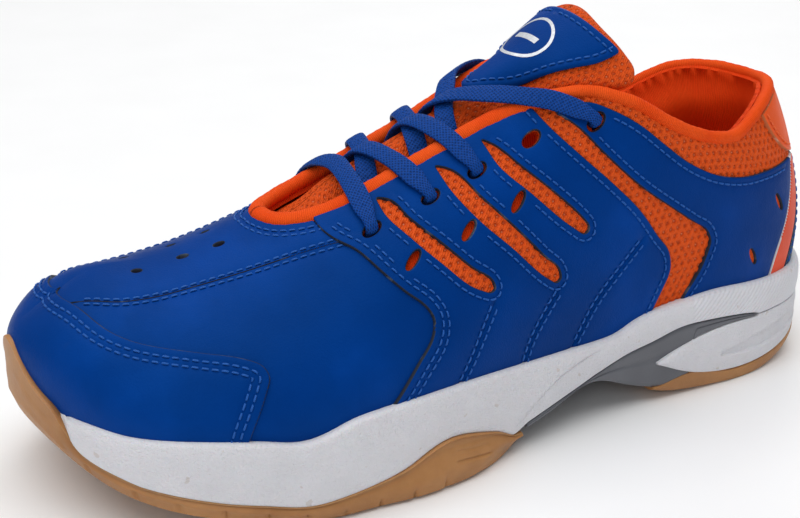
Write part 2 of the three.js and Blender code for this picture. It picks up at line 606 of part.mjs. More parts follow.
// ---- swept pieces: binding and lace ----
function sweep(rings, closed) {
  const k = rings[0].length;
  const n = rings.length;
  const triangles = [];
  for (let i = 0; i < (closed ? n : n - 1); i++)
    for (let j = 0; j < k; j++) {
      const [a, b] = [i * k + j, i * k + ((j + 1) % k)];
      const [c, d] = [((i + 1) % n) * k + j, ((i + 1) % n) * k + ((j + 1) % k)];
      triangles.push(a, b, d, a, d, c);
    }
  if (!closed)
    for (let j = 1; j < k - 1; j++) {
      triangles.push(0, j + 1, j);
      triangles.push((n - 1) * k, (n - 1) * k + j, (n - 1) * k + j + 1);
    }
  return outward(solid(rings.flat().flatMap((p) => p.toArray()), triangles));
}

function addBinding() {
  const half = OPENING.map(([q, v]) => place(q, Math.min(v, 0.9999), 0.3));
  const other = OPENING.slice(1, -1).map(([q, v]) => place(-q, v, 0.3)).reverse();
  const path = new THREE.CatmullRomCurve3([...half, ...other], true, "centripetal");
  const count = 66;
  const rings = path.getPoints(count).slice(0, count).map((p, i) => {
    const along = path.getTangent(i / count);
    const out = new THREE.Vector3(0, 0, 1).cross(along).normalize();
    const up = along.clone().cross(out);
    return Array.from({ length: 6 }, (_, j) => {
      const a = (j / 6) * 2 * Math.PI;
      return p.clone().addScaledVector(out, Math.cos(a) * BINDING_RADIUS).addScaledVector(up, Math.sin(a) * BINDING_RADIUS);
    });
  });
  add("opening_binding", sweep(rings, true), COLOUR.bright);
}

// One crossing: from inside eyelet `from` to the outside of eyelet `to` on the other side.
function crossing(side, from, to, over, bow = 0) {
  const [q0, v0] = EYELETS[from];
  const [q1, v1] = EYELETS[to];
  const t0 = 1 - v0;
  const t1 = 1 - v1;
  const under = [[t0 - 0.015, -4.2], [0.27, -4.2], [0.2, -4], [0.13, -1.6], [0.07, over ? 0.7 : 0]];
  const across = [[0, over ? 3 : 1]];
  const above = [[0.07, over ? 3.7 : 2.6], [0.14, 3.9], [0.2, 4.1], [0.28, 4.15], [t1 - 0.02, 4.15]];
  const total = t0 + t1;
  const q = (t) => q0 + ((q1 - q0) * (t + t0)) / total + bow * Math.max(0, 1 - (t / t0) ** 2);
  const start = under.map(([t, w]) => [side * q(-t), 1 - t, w]);
  const middle = across.map(([t, w]) => [-side * q(t), 0.9999, w]);
  const end = above.map(([t, w]) => [-side * q(t), 1 - t, w]);
  return [...start, ...middle, ...end, ...through(-side, to)];
}

// Down an eyelet, from the outside to the inside.
function through(side, index) {
  const [q, v] = EYELETS[index];
  return [[side * q, v, 3.2], [side * q, v, 0.6], [side * q, v, -2.9]];
}

function lacePath() {
  const [q, v] = EYELETS[0];
  const t = 1 - v;
  const bar = [
    ...[t - 0.02, 0.28, 0.2, 0.12].map((x) => [q, 1 - x, 4.15]),
    [q, 0.9999, 3.4],
    ...[0.12, 0.2, 0.28, t - 0.02].map((x) => [-q, 1 - x, 4.15]),
  ];
  const tail = (side) => [[side * 0.352, 0.545, -4.1], [side * 0.356, 0.48, -4.3], [side * 0.362, 0.4, -4.3]];
  const toLateral = [
    ...through(-1, 0), ...crossing(-1, 0, 1, true), ...crossing(1, 1, 2, false),
    ...crossing(-1, 2, 4, true, 0.02), ...tail(1),
  ];
  const toMedial = [
    ...through(1, 0), ...crossing(1, 0, 1, false), ...crossing(-1, 1, 2, true),
    ...crossing(1, 2, 4, false, 0.02), ...tail(-1),
  ];
  return [...toMedial.reverse(), ...bar, ...toLateral];
}

function addLace() {
  const stops = lacePath();
  const path = new THREE.CatmullRomCurve3(stops.map(([Q, v, w]) => place(Q, v, w)), false, "centripetal");
  const along = stops.map(([Q]) => {
    const q = Math.abs(Q);
    return place(q + 0.01, 0.9999, 0).sub(place(q - 0.01, 0.9999, 0)).normalize();
  });
  const perSpan = 1;
  const count = (stops.length - 1) * perSpan;
  const rings = steps(0, count, count).map((i) => {
    const f = i / count;
    const at = (i / perSpan) | 0;
    const next = Math.min(at + 1, stops.length - 1);
    const p = path.getPoint(f);
    const run = path.getTangent(f);
    const wide = along[at].clone().lerp(along[next], i / perSpan - at);
    wide.addScaledVector(run, -wide.dot(run)).normalize();
    const up = run.clone().cross(wide);
    const corner = [[-1, 0], [-0.8, -1], [0.8, -1], [1, 0], [0.8, 1], [-0.8, 1]];
    return corner.map(([a, b]) =>
      p.clone().addScaledVector(wide, a * LACE_HALF_WIDTH).addScaledVector(up, b * LACE_HALF_THICK),
    );
  });
  add("lace", sweep(rings, false), COLOUR.lace);
}

// ---- sole: stacked lofts round the feather line ----
function soleRing(Qs, offset, height) {
  return Qs.map((Q) => {
    const [s, x, z] = feather(Q);
    const n = featherNormal(Q);
    const d = typeof offset === "function" ? offset(Q, s) : offset;
    const out = [s + n[0] * d, x + n[1] * d];
    return world([out[0], out[1], height(out[0], z, Q)]);
  });
}

// Rings from the bottom up; each cap is a strip of quads between the two sides.
function soleLoft(rings) {
  const n = rings[0].length;
  const triangles = [];
  for (let i = 0; i < rings.length - 1; i++)
    for (let j = 0; j < n; j++) {
      const k = (j + 1) % n;
      triangles.push(i * n + j, i * n + k, (i + 1) * n + k, i * n + j, (i + 1) * n + k, (i + 1) * n + j);
    }
  const last = (rings.length - 1) * n;
  for (let j = 0; j < n / 2 - 1; j++) {
    const [a, b, c, d] = [j, j + 1, n - 2 - j, n - 1 - j];
    triangles.push(a, c, b, a, d, c);
    triangles.push(last + a, last + b, last + c, last + a, last + c, last + d);
  }
  return outward(solid(rings.flat().flatMap((p) => p.toArray()), triangles));
}

const ground = piecewise(GROUND);
const midsoleUnder = piecewise(MIDSOLE_UNDER);
const treadTop = piecewise(HEEL_TREAD_TOP);

function qAt(s) {
  let [a, b] = [0, 1];
  for (let i = 0; i < 30; i++) {
    const m = (a + b) / 2;
    if (feather(m)[0] < s) a = m;
    else b = m;
  }
  return a;
}

const round = (list) => [...list.map((q) => -q).reverse(), ...list];
// The forefoot rubber's extra width on the lateral side.
const outrigger = (Q) => 3 * ramp(Q, 0.47, 0.55) * (1 - ramp(Q, 0.58, 0.66));

const SOLE_Q = [
  ...GRID_Q.slice(1, -1), 0.004, 0.9985,
  qAt(SHANK_FROM - 3), qAt(SHANK_FROM - 1), qAt(SHANK_FROM), qAt(80), qAt(90), qAt(97), qAt(SHANK_TO), qAt(136),
].sort((a, b) => a - b);
const FACE = 4.6; // how far the layers' meeting faces stand out from the feather line

const midsoleBottom = (s, z) => Math.min(midsoleUnder(s), z - 4);
const solePart = (from, to) => SOLE_Q.filter((q) => q > from - 1e-6 && q < to + 1e-6);

function addOutsoles() {
  const fore = solePart(qAt(136), 1);
  const foreRing = [...fore, ...fore.map((q) => -q).reverse()];
  const top = (s, z) => midsoleBottom(s, z) - GAP;
  const rim = (s, z) => Math.min(ground(s) + 2.4, top(s, z) - 0.5);
  const shoulder = (s, z) => top(s, z) * 0.7 + rim(s, z) * 0.3;
  add(
    "outsole_forefoot",
    soleLoft([
      soleRing(foreRing, (Q) => 1.5 + 0.5 * outrigger(Q), (s) => ground(s)),
      soleRing(foreRing, (Q) => 4.2 + outrigger(Q), rim),
      soleRing(foreRing, (Q) => 5.2 + outrigger(Q), shoulder),
      soleRing(foreRing, FACE, top),
    ]),
    COLOUR.gum,
  );
  const heel = round(solePart(0, qAt(80)));
  add(
    "outsole_heel",
    soleLoft([
      soleRing(heel, 1, (s) => ground(s)),
      soleRing(heel, 3.8, (s) => ground(s) + 2.2),
      soleRing(heel, FACE, (s) => treadTop(s)),
    ]),
    COLOUR.gum,
  );
}

function addPodAndShank() {
  const plate = (s) => midsoleUnder(s) - GAP - SHANK_THICK;
  const podTop = (s) => midsoleUnder(s) - GAP - (SHANK_THICK + GAP) * ramp(s, SHANK_FROM - 3, SHANK_FROM - 1);
  const pod = round(solePart(0, qAt(80)));
  add(
    "heel_pod",
    soleLoft([
      soleRing(pod, FACE, (s) => treadTop(s) + GAP),
      soleRing(pod, FACE + 1, (s) => (treadTop(s) + podTop(s)) / 2),
      soleRing(pod, FACE, podTop),
    ]),
    COLOUR.white,
  );
  const half = solePart(qAt(SHANK_FROM), qAt(SHANK_TO));
  const shank = [...half.map((q) => -q).reverse(), ...half];
  const under = (s) => plate(s) + Math.min(0, ground(s) + 0.3 - plate(s)) * ramp(s, 84, 92);
  add(
    "arch_shank",
    soleLoft([soleRing(shank, FACE, under), soleRing(shank, FACE, (s) => midsoleUnder(s) - GAP)]),
    COLOUR.grey,
  );
}

function addSole() {
  const full = round(solePart(0, 1));
  const edge = (s, z, Q) => z - 0.8 - 0.8 * ramp(Math.abs(Q), 0.5, 0.8);
  add(
    "midsole",
    soleLoft([
      soleRing(full, FACE, midsoleBottom),
      soleRing(full, 6, (s, z) => midsoleBottom(s, z) * 0.6 + z * 0.4 - 1),
      soleRing(full, 5.6, (s, z) => z - 2.8),
      soleRing(full, 4.4, edge),
    ]),
    COLOUR.white,
  );
  add(
    "strobel_board",
    soleLoft([soleRing(full, -0.8, (s, z) => z + 0.2), soleRing(full, -0.8, (s, z) => z + 1.6)]),
    COLOUR.board,
  );
  const inner = (Q) => -8.6 + 4.4 * ramp(Math.abs(Q), 0.34, 0.44);
  add(
    "sockliner",
    soleLoft([soleRing(full, inner, (s, z) => z + 2.6), soleRing(full, inner, (s, z) => z + 6.4)]),
    COLOUR.orange,
  );
}

// ---- assembly ----
addSole();
addOutsoles();
addPodAndShank();
addVamp();
addToeCap();
for (const [side, label] of [[1, "lateral"], [-1, "medial"]]) {
  addSideVamp(side, label);
  addQuarterMesh(side, label);
  addSaddle(side, label);
  addHeelPanel(side, label);
  addHeelStripe(side, label);
}
addBackstay();
addHeelTab();
addInnerLayers();
addVampLining();
addTongue();
addBinding();
addLace();

const shoe = new THREE.Group();
shoe.name = "court_shoe";
for (const mesh of parts.values()) shoe.add(mesh);

export default shoe;
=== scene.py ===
"""Court shoe, left foot: its looks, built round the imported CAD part.

The upper is a family of ribs, as in the CAD source. Each rib is a cubic curve from the feather line,
where the upper meets the sole, to the ridge over the middle of the foot. A place on the upper is (Q, v).
Q runs from the heel (0) to the toe (1), positive on the outer side and negative on the inner. v runs from
the feather line (0) to the ridge (1). Lengths are in millimetres until a mesh is made. +X is the outer
side, -Y the toe, +Z up.
"""

import math

import bpy
import numpy as np
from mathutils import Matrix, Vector, kdtree
from mathutils.geometry import delaunay_2d_cdt

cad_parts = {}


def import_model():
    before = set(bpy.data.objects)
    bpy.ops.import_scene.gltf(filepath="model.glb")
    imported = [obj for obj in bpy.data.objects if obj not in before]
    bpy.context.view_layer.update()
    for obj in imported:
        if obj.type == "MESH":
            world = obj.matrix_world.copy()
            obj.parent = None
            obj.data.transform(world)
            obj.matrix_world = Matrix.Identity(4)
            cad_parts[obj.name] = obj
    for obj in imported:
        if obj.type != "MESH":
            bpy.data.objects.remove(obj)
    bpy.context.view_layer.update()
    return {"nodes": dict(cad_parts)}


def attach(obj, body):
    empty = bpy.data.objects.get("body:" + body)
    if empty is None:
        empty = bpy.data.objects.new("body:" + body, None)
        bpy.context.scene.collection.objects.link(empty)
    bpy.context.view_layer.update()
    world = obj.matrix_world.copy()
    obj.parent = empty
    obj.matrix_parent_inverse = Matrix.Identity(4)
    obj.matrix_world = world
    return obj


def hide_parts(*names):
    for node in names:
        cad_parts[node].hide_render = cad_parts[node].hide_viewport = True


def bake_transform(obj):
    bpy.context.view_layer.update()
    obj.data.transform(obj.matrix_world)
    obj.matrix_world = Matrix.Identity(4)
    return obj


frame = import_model()

# ---- driving dimensions, shared with the CAD ----
MM = 0.001
HEEL_Y = 138.5
CENTRE_X = 1.2
# q, distance from the heel, sideways, height of the feather line
FEATHER_LATERAL = [
    [0, 4, 0, 32], [0.07, 12, 21.5, 31.5], [0.14, 30, 31, 31.8], [0.26, 65, 33.5, 31.2],
    [0.38, 103, 35, 24.4], [0.5, 141, 41, 25.6], [0.6, 174, 46.8, 27], [0.7, 205, 48.5, 23.3],
    [0.79, 231, 43, 26.3], [0.87, 253, 30, 28.7], [0.94, 267, 13, 30.5], [1, 273, -8, 32],
]
FEATHER_MEDIAL = [
    [0, 4, 0, 32], [0.07, 12, -21, 31.5], [0.14, 30, -29, 31.8], [0.26, 65, -29, 31.5],
    [0.38, 103, -27, 29], [0.5, 141, -32, 27], [0.6, 174, -41, 26], [0.7, 205, -46, 25],
    [0.79, 231, -46, 26.5], [0.87, 254.5, -40, 28.7], [0.94, 268, -27, 30.5], [1, 273, -8, 32],
]
# q, distance from the heel, sideways, height of the ridge
RIDGE = [
    [0, 34, 0, 118], [0.07, 45, 0, 126], [0.14, 58, 0, 131], [0.26, 83, 0, 129],
    [0.38, 112, -0.5, 112], [0.5, 145, -1, 94], [0.6, 170, -2, 83.5], [0.7, 194, -3.5, 73],
    [0.79, 216, -5.5, 65.5], [0.87, 236, -7, 62.5], [0.94, 252, -8, 61], [1, 264, -8, 55],
]
# q, length of the rib's lower handle, its outward lean in degrees,
# upper handle sideways on the lateral and on the medial side, upper handle along the ridge
RIB = [
    [0, 34, 10, 0, 0, -20], [0.07, 34, 9, 18, 18, -14], [0.14, 36, 7, 26, 26, -6],
    [0.26, 44, 5, 30, 30, 0], [0.38, 42, 5, 25, 25, 0], [0.5, 32, 7, 20, 20, 0],
    [0.6, 24, 10, 20, 16, 2], [0.7, 22, 14, 22, 15, 5], [0.79, 18, 18, 22, 15, 9],
    [0.87, 16, 20, 18, 14, 12], [0.94, 17, 18, 10, 9, 13], [1, 17, 15, 0, 0, 15],
]
# flat maps of the upper: about how many mm one unit of Q and of v measure
MM_PER_Q = 270
MM_PER_V = 90
# how far the base layer, the vamp and the panels sewn on stand out from the rib surface
BASE_TOP = 1.4
VAMP_TOP = 1.75
OVERLAY_LOW = 1.1
OVERLAY_TOP = 2.55
# the look's own: how far the tip of the toe is drawn in, and the sizes of the mesh's open cells and loops
TOE_EASE = 5.0
MESH_PITCH = 2.45
LOOP_SIZE = 1.196


# ---- splines and the upper's surface ----
def natural_spline(rows):
    """The natural cubic spline through rows of [x, y...], as a function of an array of x."""
    rows = np.array(rows, float)
    t, y = rows[:, 0], rows[:, 1:]
    n = len(t)
    h = np.diff(t)
    a = np.eye(n)
    slopes = np.zeros_like(y)
    for i in range(1, n - 1):
        a[i, i - 1 : i + 2] = h[i - 1], 2 * (h[i - 1] + h[i]), h[i]
        slopes[i] = 6 * ((y[i + 1] - y[i]) / h[i] - (y[i] - y[i - 1]) / h[i - 1])
    m = np.linalg.solve(a, slopes)

    def at(x):
        x = np.asarray(x, float)
        i = np.clip(np.searchsorted(t, x) - 1, 0, n - 2)
        b = ((x - t[i]) / h[i])[..., None]
        c = 1 - b
        e = (h[i] ** 2 / 6)[..., None]
        return c * y[i] + b * y[i + 1] + ((c**3 - c) * m[i] + (b**3 - b) * m[i + 1]) * e

    return at


def curve(rows):
    """A smooth height or size read off a short table of [x, value]; flat beyond its ends."""
    spline = natural_spline(rows)
    low, high = rows[0][0], rows[-1][0]
    return lambda x: spline(np.clip(x, low, high))[..., 0]


def closed_loop(lateral, medial):
    """Rows of both sides as one closed loop in signed q, with the ends carried round past the toe."""
    flip = [[-q, *rest] for q, *rest in medial[1:-1]][::-1]
    loop = [[-1, *lateral[-1][1:]], *flip, *lateral]
    before = [[q - 2, *rest] for q, *rest in loop[-8:-1]]
    after = [[q + 2, *rest] for q, *rest in loop[1:8]]
    return natural_spline([*before, *loop, *after])


def ramp(x, start, end):
    t = np.clip((np.asarray(x, float) - start) / (end - start), 0, 1)
    return t * t * (3 - 2 * t)


def unit(v):
    return v / np.maximum(np.linalg.norm(v, axis=-1, keepdims=True), 1e-12)


feather = closed_loop(FEATHER_LATERAL, FEATHER_MEDIAL)


def feather_normal(Q):
    d = feather(np.asarray(Q, float) + 1e-4) - feather(np.asarray(Q, float) - 1e-4)
    return unit(np.stack([-d[..., 1], d[..., 0]], -1))


def control_row(side, index):
    q, rise, lean, lateral_reach, medial_reach, along = RIB[index]
    base = np.array((FEATHER_LATERAL if side > 0 else FEATHER_MEDIAL)[index][1:], float)
    top = np.array(RIDGE[index][1:], float)
    n = {0: np.array([-1.0, 0]), 1: np.array([1.0, 0])}.get(q)
    if n is None:
        n = feather_normal(side * q)
    angle = math.radians(lean)
    before = np.array(RIDGE[max(0, index - 1)][1:], float)
    after = np.array(RIDGE[min(len(RIDGE) - 1, index + 1)][1:], float)
    run = unit(after - before)
    reach = lateral_reach if side > 0 else medial_reach
    low = base + np.array([n[0] * math.sin(angle), n[1] * math.sin(angle), math.cos(angle)]) * rise
    high = top + run * along + np.array([0, side * reach, 0])
    return [q, *base, *low, *high, *top]


ribs = closed_loop(
    [control_row(1, i) for i in range(len(RIB))], [control_row(-1, i) for i in range(len(RIB))]
)


def world(p):
    """(distance from the heel, sideways, height) to the row frame, with the toe drawn in by TOE_EASE mm."""
    s = p[..., 0] - TOE_EASE * ramp(p[..., 0], 240, 280)
    return np.stack([p[..., 1] - CENTRE_X, HEEL_Y - s, p[..., 2]], -1)


def folded(Q, v):
    """A place past the ridge is on the other side, and one past the toe too."""
    Q, v = np.broadcast_arrays(np.asarray(Q, float), np.asarray(v, float))
    Q, v = np.where(v > 1, -Q, Q), np.where(v > 1, 2 - v, v)
    return np.where(np.abs(Q) > 1, Q - 2 * np.sign(Q), Q), v


def surface(Q, v):
    Q, v = folded(Q, v)
    c = ribs(Q)
    u = 1 - v
    weights = [u**3, 3 * u * u * v, 3 * u * v * v, v**3]
    return world(sum(w[..., None] * c[..., 3 * k : 3 * k + 3] for k, w in enumerate(weights)))


def side_normal(Q, v):
    top = np.minimum(v, 0.965)
    e = 1e-3
    across = surface(Q + e, top) - surface(Q - e, top)
    up = surface(Q, top + e) - surface(Q, top - e)
    return unit(np.cross(up, across))


def normal(Q, v):
    Q, v = folded(Q, v)
    share = (0.5 * ramp(v, 0.86, 1))[..., None]
    return unit(side_normal(Q, v) * (1 - share) + side_normal(-Q, v) * share)


def place(Q, v, offset):
    offset = np.asarray(offset, float)
    return surface(Q, v) + normal(Q, v) * offset[..., None]


def shift(qv, move):
    """Places moved along the surface by 3-D vectors in mm."""
    Q, v = qv[:, 0], qv[:, 1]
    e = 1e-3
    inside = np.minimum(v, 0.99)
    dq = (surface(Q + e, inside) - surface(Q - e, inside)) / (2 * e)
    dv = (surface(Q, inside + e) - surface(Q, inside - e)) / (2 * e)
    a, b, c = (dq * dq).sum(1), (dq * dv).sum(1), (dv * dv).sum(1)
    x, y = (move * dq).sum(1), (move * dv).sum(1)
    det = np.maximum(a * c - b * b, 1e-6)
    return qv + np.stack([(c * x - b * y) / det, (a * y - b * x) / det], 1)


# ---- charts: flat maps of (Q, v) ----
class SideChart:
    @staticmethod
    def to(qv):
        return qv * [MM_PER_Q, MM_PER_V]

    @staticmethod
    def back(xy):
        return xy / [MM_PER_Q, MM_PER_V]


class RidgeChart:
    @staticmethod
    def to(qv):
        return np.stack([np.abs(qv[:, 0]) * MM_PER_Q, np.sign(qv[:, 0]) * (1 - qv[:, 1]) * MM_PER_V], 1)

    @staticmethod
    def back(xy):
        side = np.where(xy[:, 1] < 0, -1, 1)
        return np.stack([side * xy[:, 0] / MM_PER_Q, 1 - np.abs(xy[:, 1]) / MM_PER_V], 1)


class ToeChart:
    """It squares the complex number (a, b), so both sides share the ridge and the toe rib."""

    @staticmethod
    def to(qv):
        a = (1 - np.abs(qv[:, 0])) * MM_PER_Q * 0.1
        b = (1 - qv[:, 1]) * MM_PER_V * 0.1
        return np.stack([a * a - b * b, 2 * a * b * np.sign(qv[:, 0])], 1)

    @staticmethod
    def back(xy):
        r = np.hypot(xy[:, 0], xy[:, 1])
        a = np.sqrt(np.maximum(0, (r + xy[:, 0]) / 2))
        b = np.sqrt(np.maximum(0, (r - xy[:, 0]) / 2))
        side = np.where(xy[:, 1] < 0, -1, 1)
        return np.stack([side * (1 - a * 10 / MM_PER_Q), 1 - b * 10 / MM_PER_V], 1)


def lengths(points):
    return np.linalg.norm(np.diff(points, axis=0), axis=1)


def distance_along(points):
    return np.concatenate([[0], np.cumsum(lengths(points))])


def hermite(a, b, along_a, along_b, span, count):
    """count points on a smooth curve from a to just before b, with given directions at its ends."""
    t = (np.arange(count) / count)[:, None]
    return (
        (2 * t**3 - 3 * t**2 + 1) * a
        + (t**3 - 2 * t**2 + t) * along_a * span
        + (3 * t**2 - 2 * t**3) * b
        + (t**3 - t**2) * along_b * span
    )


def eased(line):
    """A closed line with each point moved halfway to the middle of its neighbours."""
    return (np.roll(line, 1, 0) + 2 * line + np.roll(line, -1, 0)) / 4


def smooth_line(chart, outline, closed, spacing=1.0, corner=42):
    """The outline as a smooth line of places, spacing mm apart. Turns over corner degrees stay sharp."""
    p = chart.to(np.array(outline, float))
    n = len(p)
    following = np.roll(p, -1, 0) - p
    span = np.maximum(np.linalg.norm(following, axis=1), 1e-9)
    ways = following / span[:, None]
    before = np.roll(ways, 1, 0)
    turn = np.degrees(np.arccos(np.clip((ways * before).sum(1), -1, 1)))
    sharp = turn > corner
    if not closed:
        sharp[0] = sharp[-1] = True
    back = np.roll(span, 1)
    tangent = (before * span[:, None] + ways * back[:, None]) / (span + back)[:, None]
    line = []
    for i in range(n if closed else n - 1):
        k = (i + 1) % n
        t0 = ways[i] if sharp[i] else tangent[i]
        t1 = ways[i] if sharp[k] else tangent[k]
        ends = surface(*chart.back(p[[i, k]]).T)
        count = max(1, math.ceil(np.linalg.norm(ends[1] - ends[0]) / spacing))
        line.append(hermite(p[i], p[k], t0, t1, span[i], count))
    if not closed:
        line.append(p[-1:])
    line = np.vstack(line)
    for _ in range(3):
        softer = eased(line)
        if not closed:
            softer[0], softer[-1] = line[0], line[-1]
        line = softer
    return chart.back(line)


def beside(qv, distance, closed=False):
    """The line of places moved sideways by distance mm, to the left as seen from outside."""
    p = surface(qv[:, 0], qv[:, 1])
    if closed:
        along = unit(np.roll(p, -1, 0) - np.roll(p, 1, 0))
    else:
        along = unit(np.gradient(p, axis=0))
    left = unit(np.cross(normal(qv[:, 0], qv[:, 1]), along))
    return shift(qv, left * distance)


def inside(polygon, points):
    """Which points lie inside the polygon, by counting crossings."""
    result = np.zeros(len(points), bool)
    x, y = points[:, 0], points[:, 1]
    a, b = polygon, np.roll(polygon, -1, 0)
    for (ax, ay), (bx, by) in zip(a, b):
        if ay == by:
            continue
        crosses = (ay > y) != (by > y)
        result ^= crosses & (x < (bx - ax) * (y - ay) / (by - ay) + ax)
    return result


def tree(points):
    kd = kdtree.KDTree(len(points))
    for i, p in enumerate(points):
        kd.insert(p, i)
    kd.balance()
    return kd


def distances(kd, points):
    return np.array([kd.find(p)[2] for p in points])


def near_segments(boundary, edges, points):
    """Distance of each point to the nearest of the boundary's edges."""
    used = np.unique(edges)
    around = {int(i): [] for i in used}
    for a, b in edges:
        around[int(a)].append(int(b))
        around[int(b)].append(int(a))
    kd = tree(boundary[used])
    found = np.array([used[kd.find(p)[1]] for p in points])
    best = np.linalg.norm(points - boundary[found], axis=1)
    for k in range(2):
        other = np.array([around[int(i)][min(k, len(around[int(i)]) - 1)] for i in found])
        a, b = boundary[found], boundary[other]
        ab = b - a
        t = np.clip(((points - a) * ab).sum(1) / np.maximum((ab * ab).sum(1), 1e-9), 0, 1)
        best = np.minimum(best, np.linalg.norm(points - a - ab * t[:, None], axis=1))
    return best


# ---- meshes ----
class Body:
    """Vertices in mm, faces, a material index for each face and a fabric place for each vertex."""

    def __init__(self):
        self.points, self.faces, self.slots, self.weave = [], [], [], []
        self.count = 0

    def add(self, points, faces, slot=0, weave=None):
        points = np.asarray(points, float)
        self.points.append(points)
        self.weave.append(np.zeros((len(points), 3)) if weave is None else weave)
        self.faces += [[int(i) + self.count for i in f] for f in faces]
        self.slots += list(slot) if hasattr(slot, "__len__") else [slot] * len(faces)
        self.count += len(points)
        return self

    def grid(self, rings, closed=False, caps=False, weave=None):
        """Closed rings of points joined by quads; caps are single faces over the first and the last ring."""
        rings = np.asarray(rings, float)
        n, k = rings.shape[:2]
        faces = []
        for i in range(n if closed else n - 1):
            j = np.arange(k)
            a, b = i * k + j, i * k + (j + 1) % k
            c, d = ((i + 1) % n) * k + (j + 1) % k, ((i + 1) % n) * k + j
            faces += np.stack([a, b, c, d], 1).tolist()
        if caps:
            faces += [list(range(k))[::-1], [(n - 1) * k + j for j in range(k)]]
        flat = None if weave is None else np.asarray(weave, float).reshape(-1, 3)
        return self.add(rings.reshape(-1, 3), faces, weave=flat)

    def make(self, name, materials, ride="shoe", replaces=(), slot=None, sharp=50):
        mesh = bpy.data.meshes.new(name)
        mesh.from_pydata(np.vstack(self.points) * MM, [], self.faces)
        mesh.polygons.foreach_set("material_index", self.slots)
        weave = mesh.attributes.new("weave", "FLOAT_VECTOR", "POINT")
        weave.data.foreach_set("vector", np.vstack(self.weave).astype(np.float32).ravel())
        for m in materials:
            mesh.materials.append(m)
        mesh.validate()
        obj = bpy.data.objects.new(name, mesh)
        bpy.context.scene.collection.objects.link(obj)
        outward(mesh)
        mesh.shade_smooth()
        mesh.set_sharp_from_angle(angle=math.radians(sharp))
        if ride:
            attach(obj, ride)
        if replaces:
            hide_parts(*replaces)
        return obj


def outward(mesh):
    """Turns the faces round if the closed mesh is inside out."""
    n = len(mesh.vertices)
    co = np.zeros(n * 3)
    mesh.vertices.foreach_get("co", co)
    co = co.reshape(-1, 3)
    mesh.calc_loop_triangles()
    t = np.zeros(len(mesh.loop_triangles) * 3, int)
    mesh.loop_triangles.foreach_get("vertices", t)
    a, b, c = co[t.reshape(-1, 3)].transpose(1, 0, 2)
    if (a * np.cross(b, c)).sum() < 0:
        mesh.flip_normals()


def fabric_place(Q, v):
    """(mm along the shoe, mm up the rib, 0), in which a fabric's weave is laid out."""
    return np.stack([Q * MM_PER_Q, v * rib_length(np.abs(Q)), np.zeros_like(Q)], -1)


rib_length = curve([
    [0, 94], [0.1, 113], [0.2, 118], [0.3, 111], [0.4, 100], [0.5, 87], [0.6, 81], [0.7, 79], [0.8, 69],
    [0.9, 55], [1, 29],
])


def grid_places(low_q, high_q, low_v, high_v, step):
    """A staggered grid of places about step mm apart."""
    nq = max(2, math.ceil((high_q - low_q) * MM_PER_Q / step))
    nv = max(2, math.ceil((high_v - low_v) * MM_PER_V / (step * 0.87)))
    q, v = np.meshgrid(np.linspace(low_q, high_q, nq + 1), np.linspace(low_v, high_v, nv + 1), indexing="ij")
    q[:, ::2] += (high_q - low_q) / nq / 2
    return np.stack([q.ravel(), v.ravel()], 1)


def cut(chart, outline, holes, step, extra, rings, fine, fine_step):
    """Triangulates the outline less its holes. Returns places (Q, v), triangles and boundary edges.
    extra holds lines that the mesh follows, rings the distances of the rows beside each edge, and fine says
    which places have their points only fine_step mm apart.
    """
    loops = [smooth_line(chart, outline, True)]
    loops += [smooth_line(chart, hole, True, 0.6) for hole in holes]
    flat = [chart.to(loop) for loop in loops]
    points, edges = [], []
    count = 0
    for f in flat:
        n = len(f)
        points.append(f)
        edges += [(count + i, count + (i + 1) % n) for i in range(n)]
        count += n
    edge_tree = tree(np.vstack([surface(l[:, 0], l[:, 1]) for l in loops]))

    def within(f):
        keep = inside(flat[0], f)
        for hole in flat[1:]:
            keep &= ~inside(hole, f)
        return keep

    def take(places, clear):
        f = chart.to(places)
        keep = within(f)
        places, f = places[keep], f[keep]
        if len(places) and clear:
            keep = distances(edge_tree, surface(places[:, 0], places[:, 1])) > clear
            f = f[keep]
        points.append(f)

    for loop in loops:
        for d in rings:
            for sign in (1, -1):
                take(beside(loop, sign * d, True), d * 0.8)
    for line, clear in extra:
        take(line, clear)
    q = np.abs(loops[0][:, 0])
    v = loops[0][:, 1]
    low_v, high_v = v.min(), min(1.0, v.max())
    signs = [s for s in (1, -1) if (loops[0][:, 0] * s > 1e-3).any()]
    through_heel = chart is SideChart and len(signs) == 2
    base = 0.0 if through_heel else q.min()
    for side in signs:
        g = grid_places(base, q.max(), low_v, high_v, step) * [side, 1]
        if fine is not None:
            g = g[~fine(g)]
        take(g, max(rings, default=0.3) + step * 0.35)
        if fine is not None:
            g = grid_places(base, q.max(), low_v, high_v, fine_step) * [side, 1]
            take(g[fine(g)], 0.5)
    flat_points = np.vstack(points)
    out, _, faces, *_ = delaunay_2d_cdt([Vector(p) for p in flat_points], edges, [], 0, 1e-6)
    xy = np.array([tuple(p) for p in out])
    tri = np.array([f for f in faces if len(f) == 3])
    tri = tri[within(xy[tri].mean(1))]
    used, tri = np.unique(tri, return_inverse=True)
    tri = tri.reshape(-1, 3)
    xy = xy[used]
    sides = np.vstack([tri[:, [0, 1]], tri[:, [1, 2]], tri[:, [2, 0]]])
    key = np.sort(sides, 1)
    _, first, counts = np.unique(key, axis=0, return_index=True, return_counts=True)
    border = sides[first[counts == 1]]
    return chart.back(xy), tri, border


# depth and width of the groove that stitching pulls into a panel, and of a pressed crease
SEAM_SUNK, SEAM_WIDE = 0.26, 0.75
CREASE_DEEP, CREASE_WIDE = 0.75, 0.5


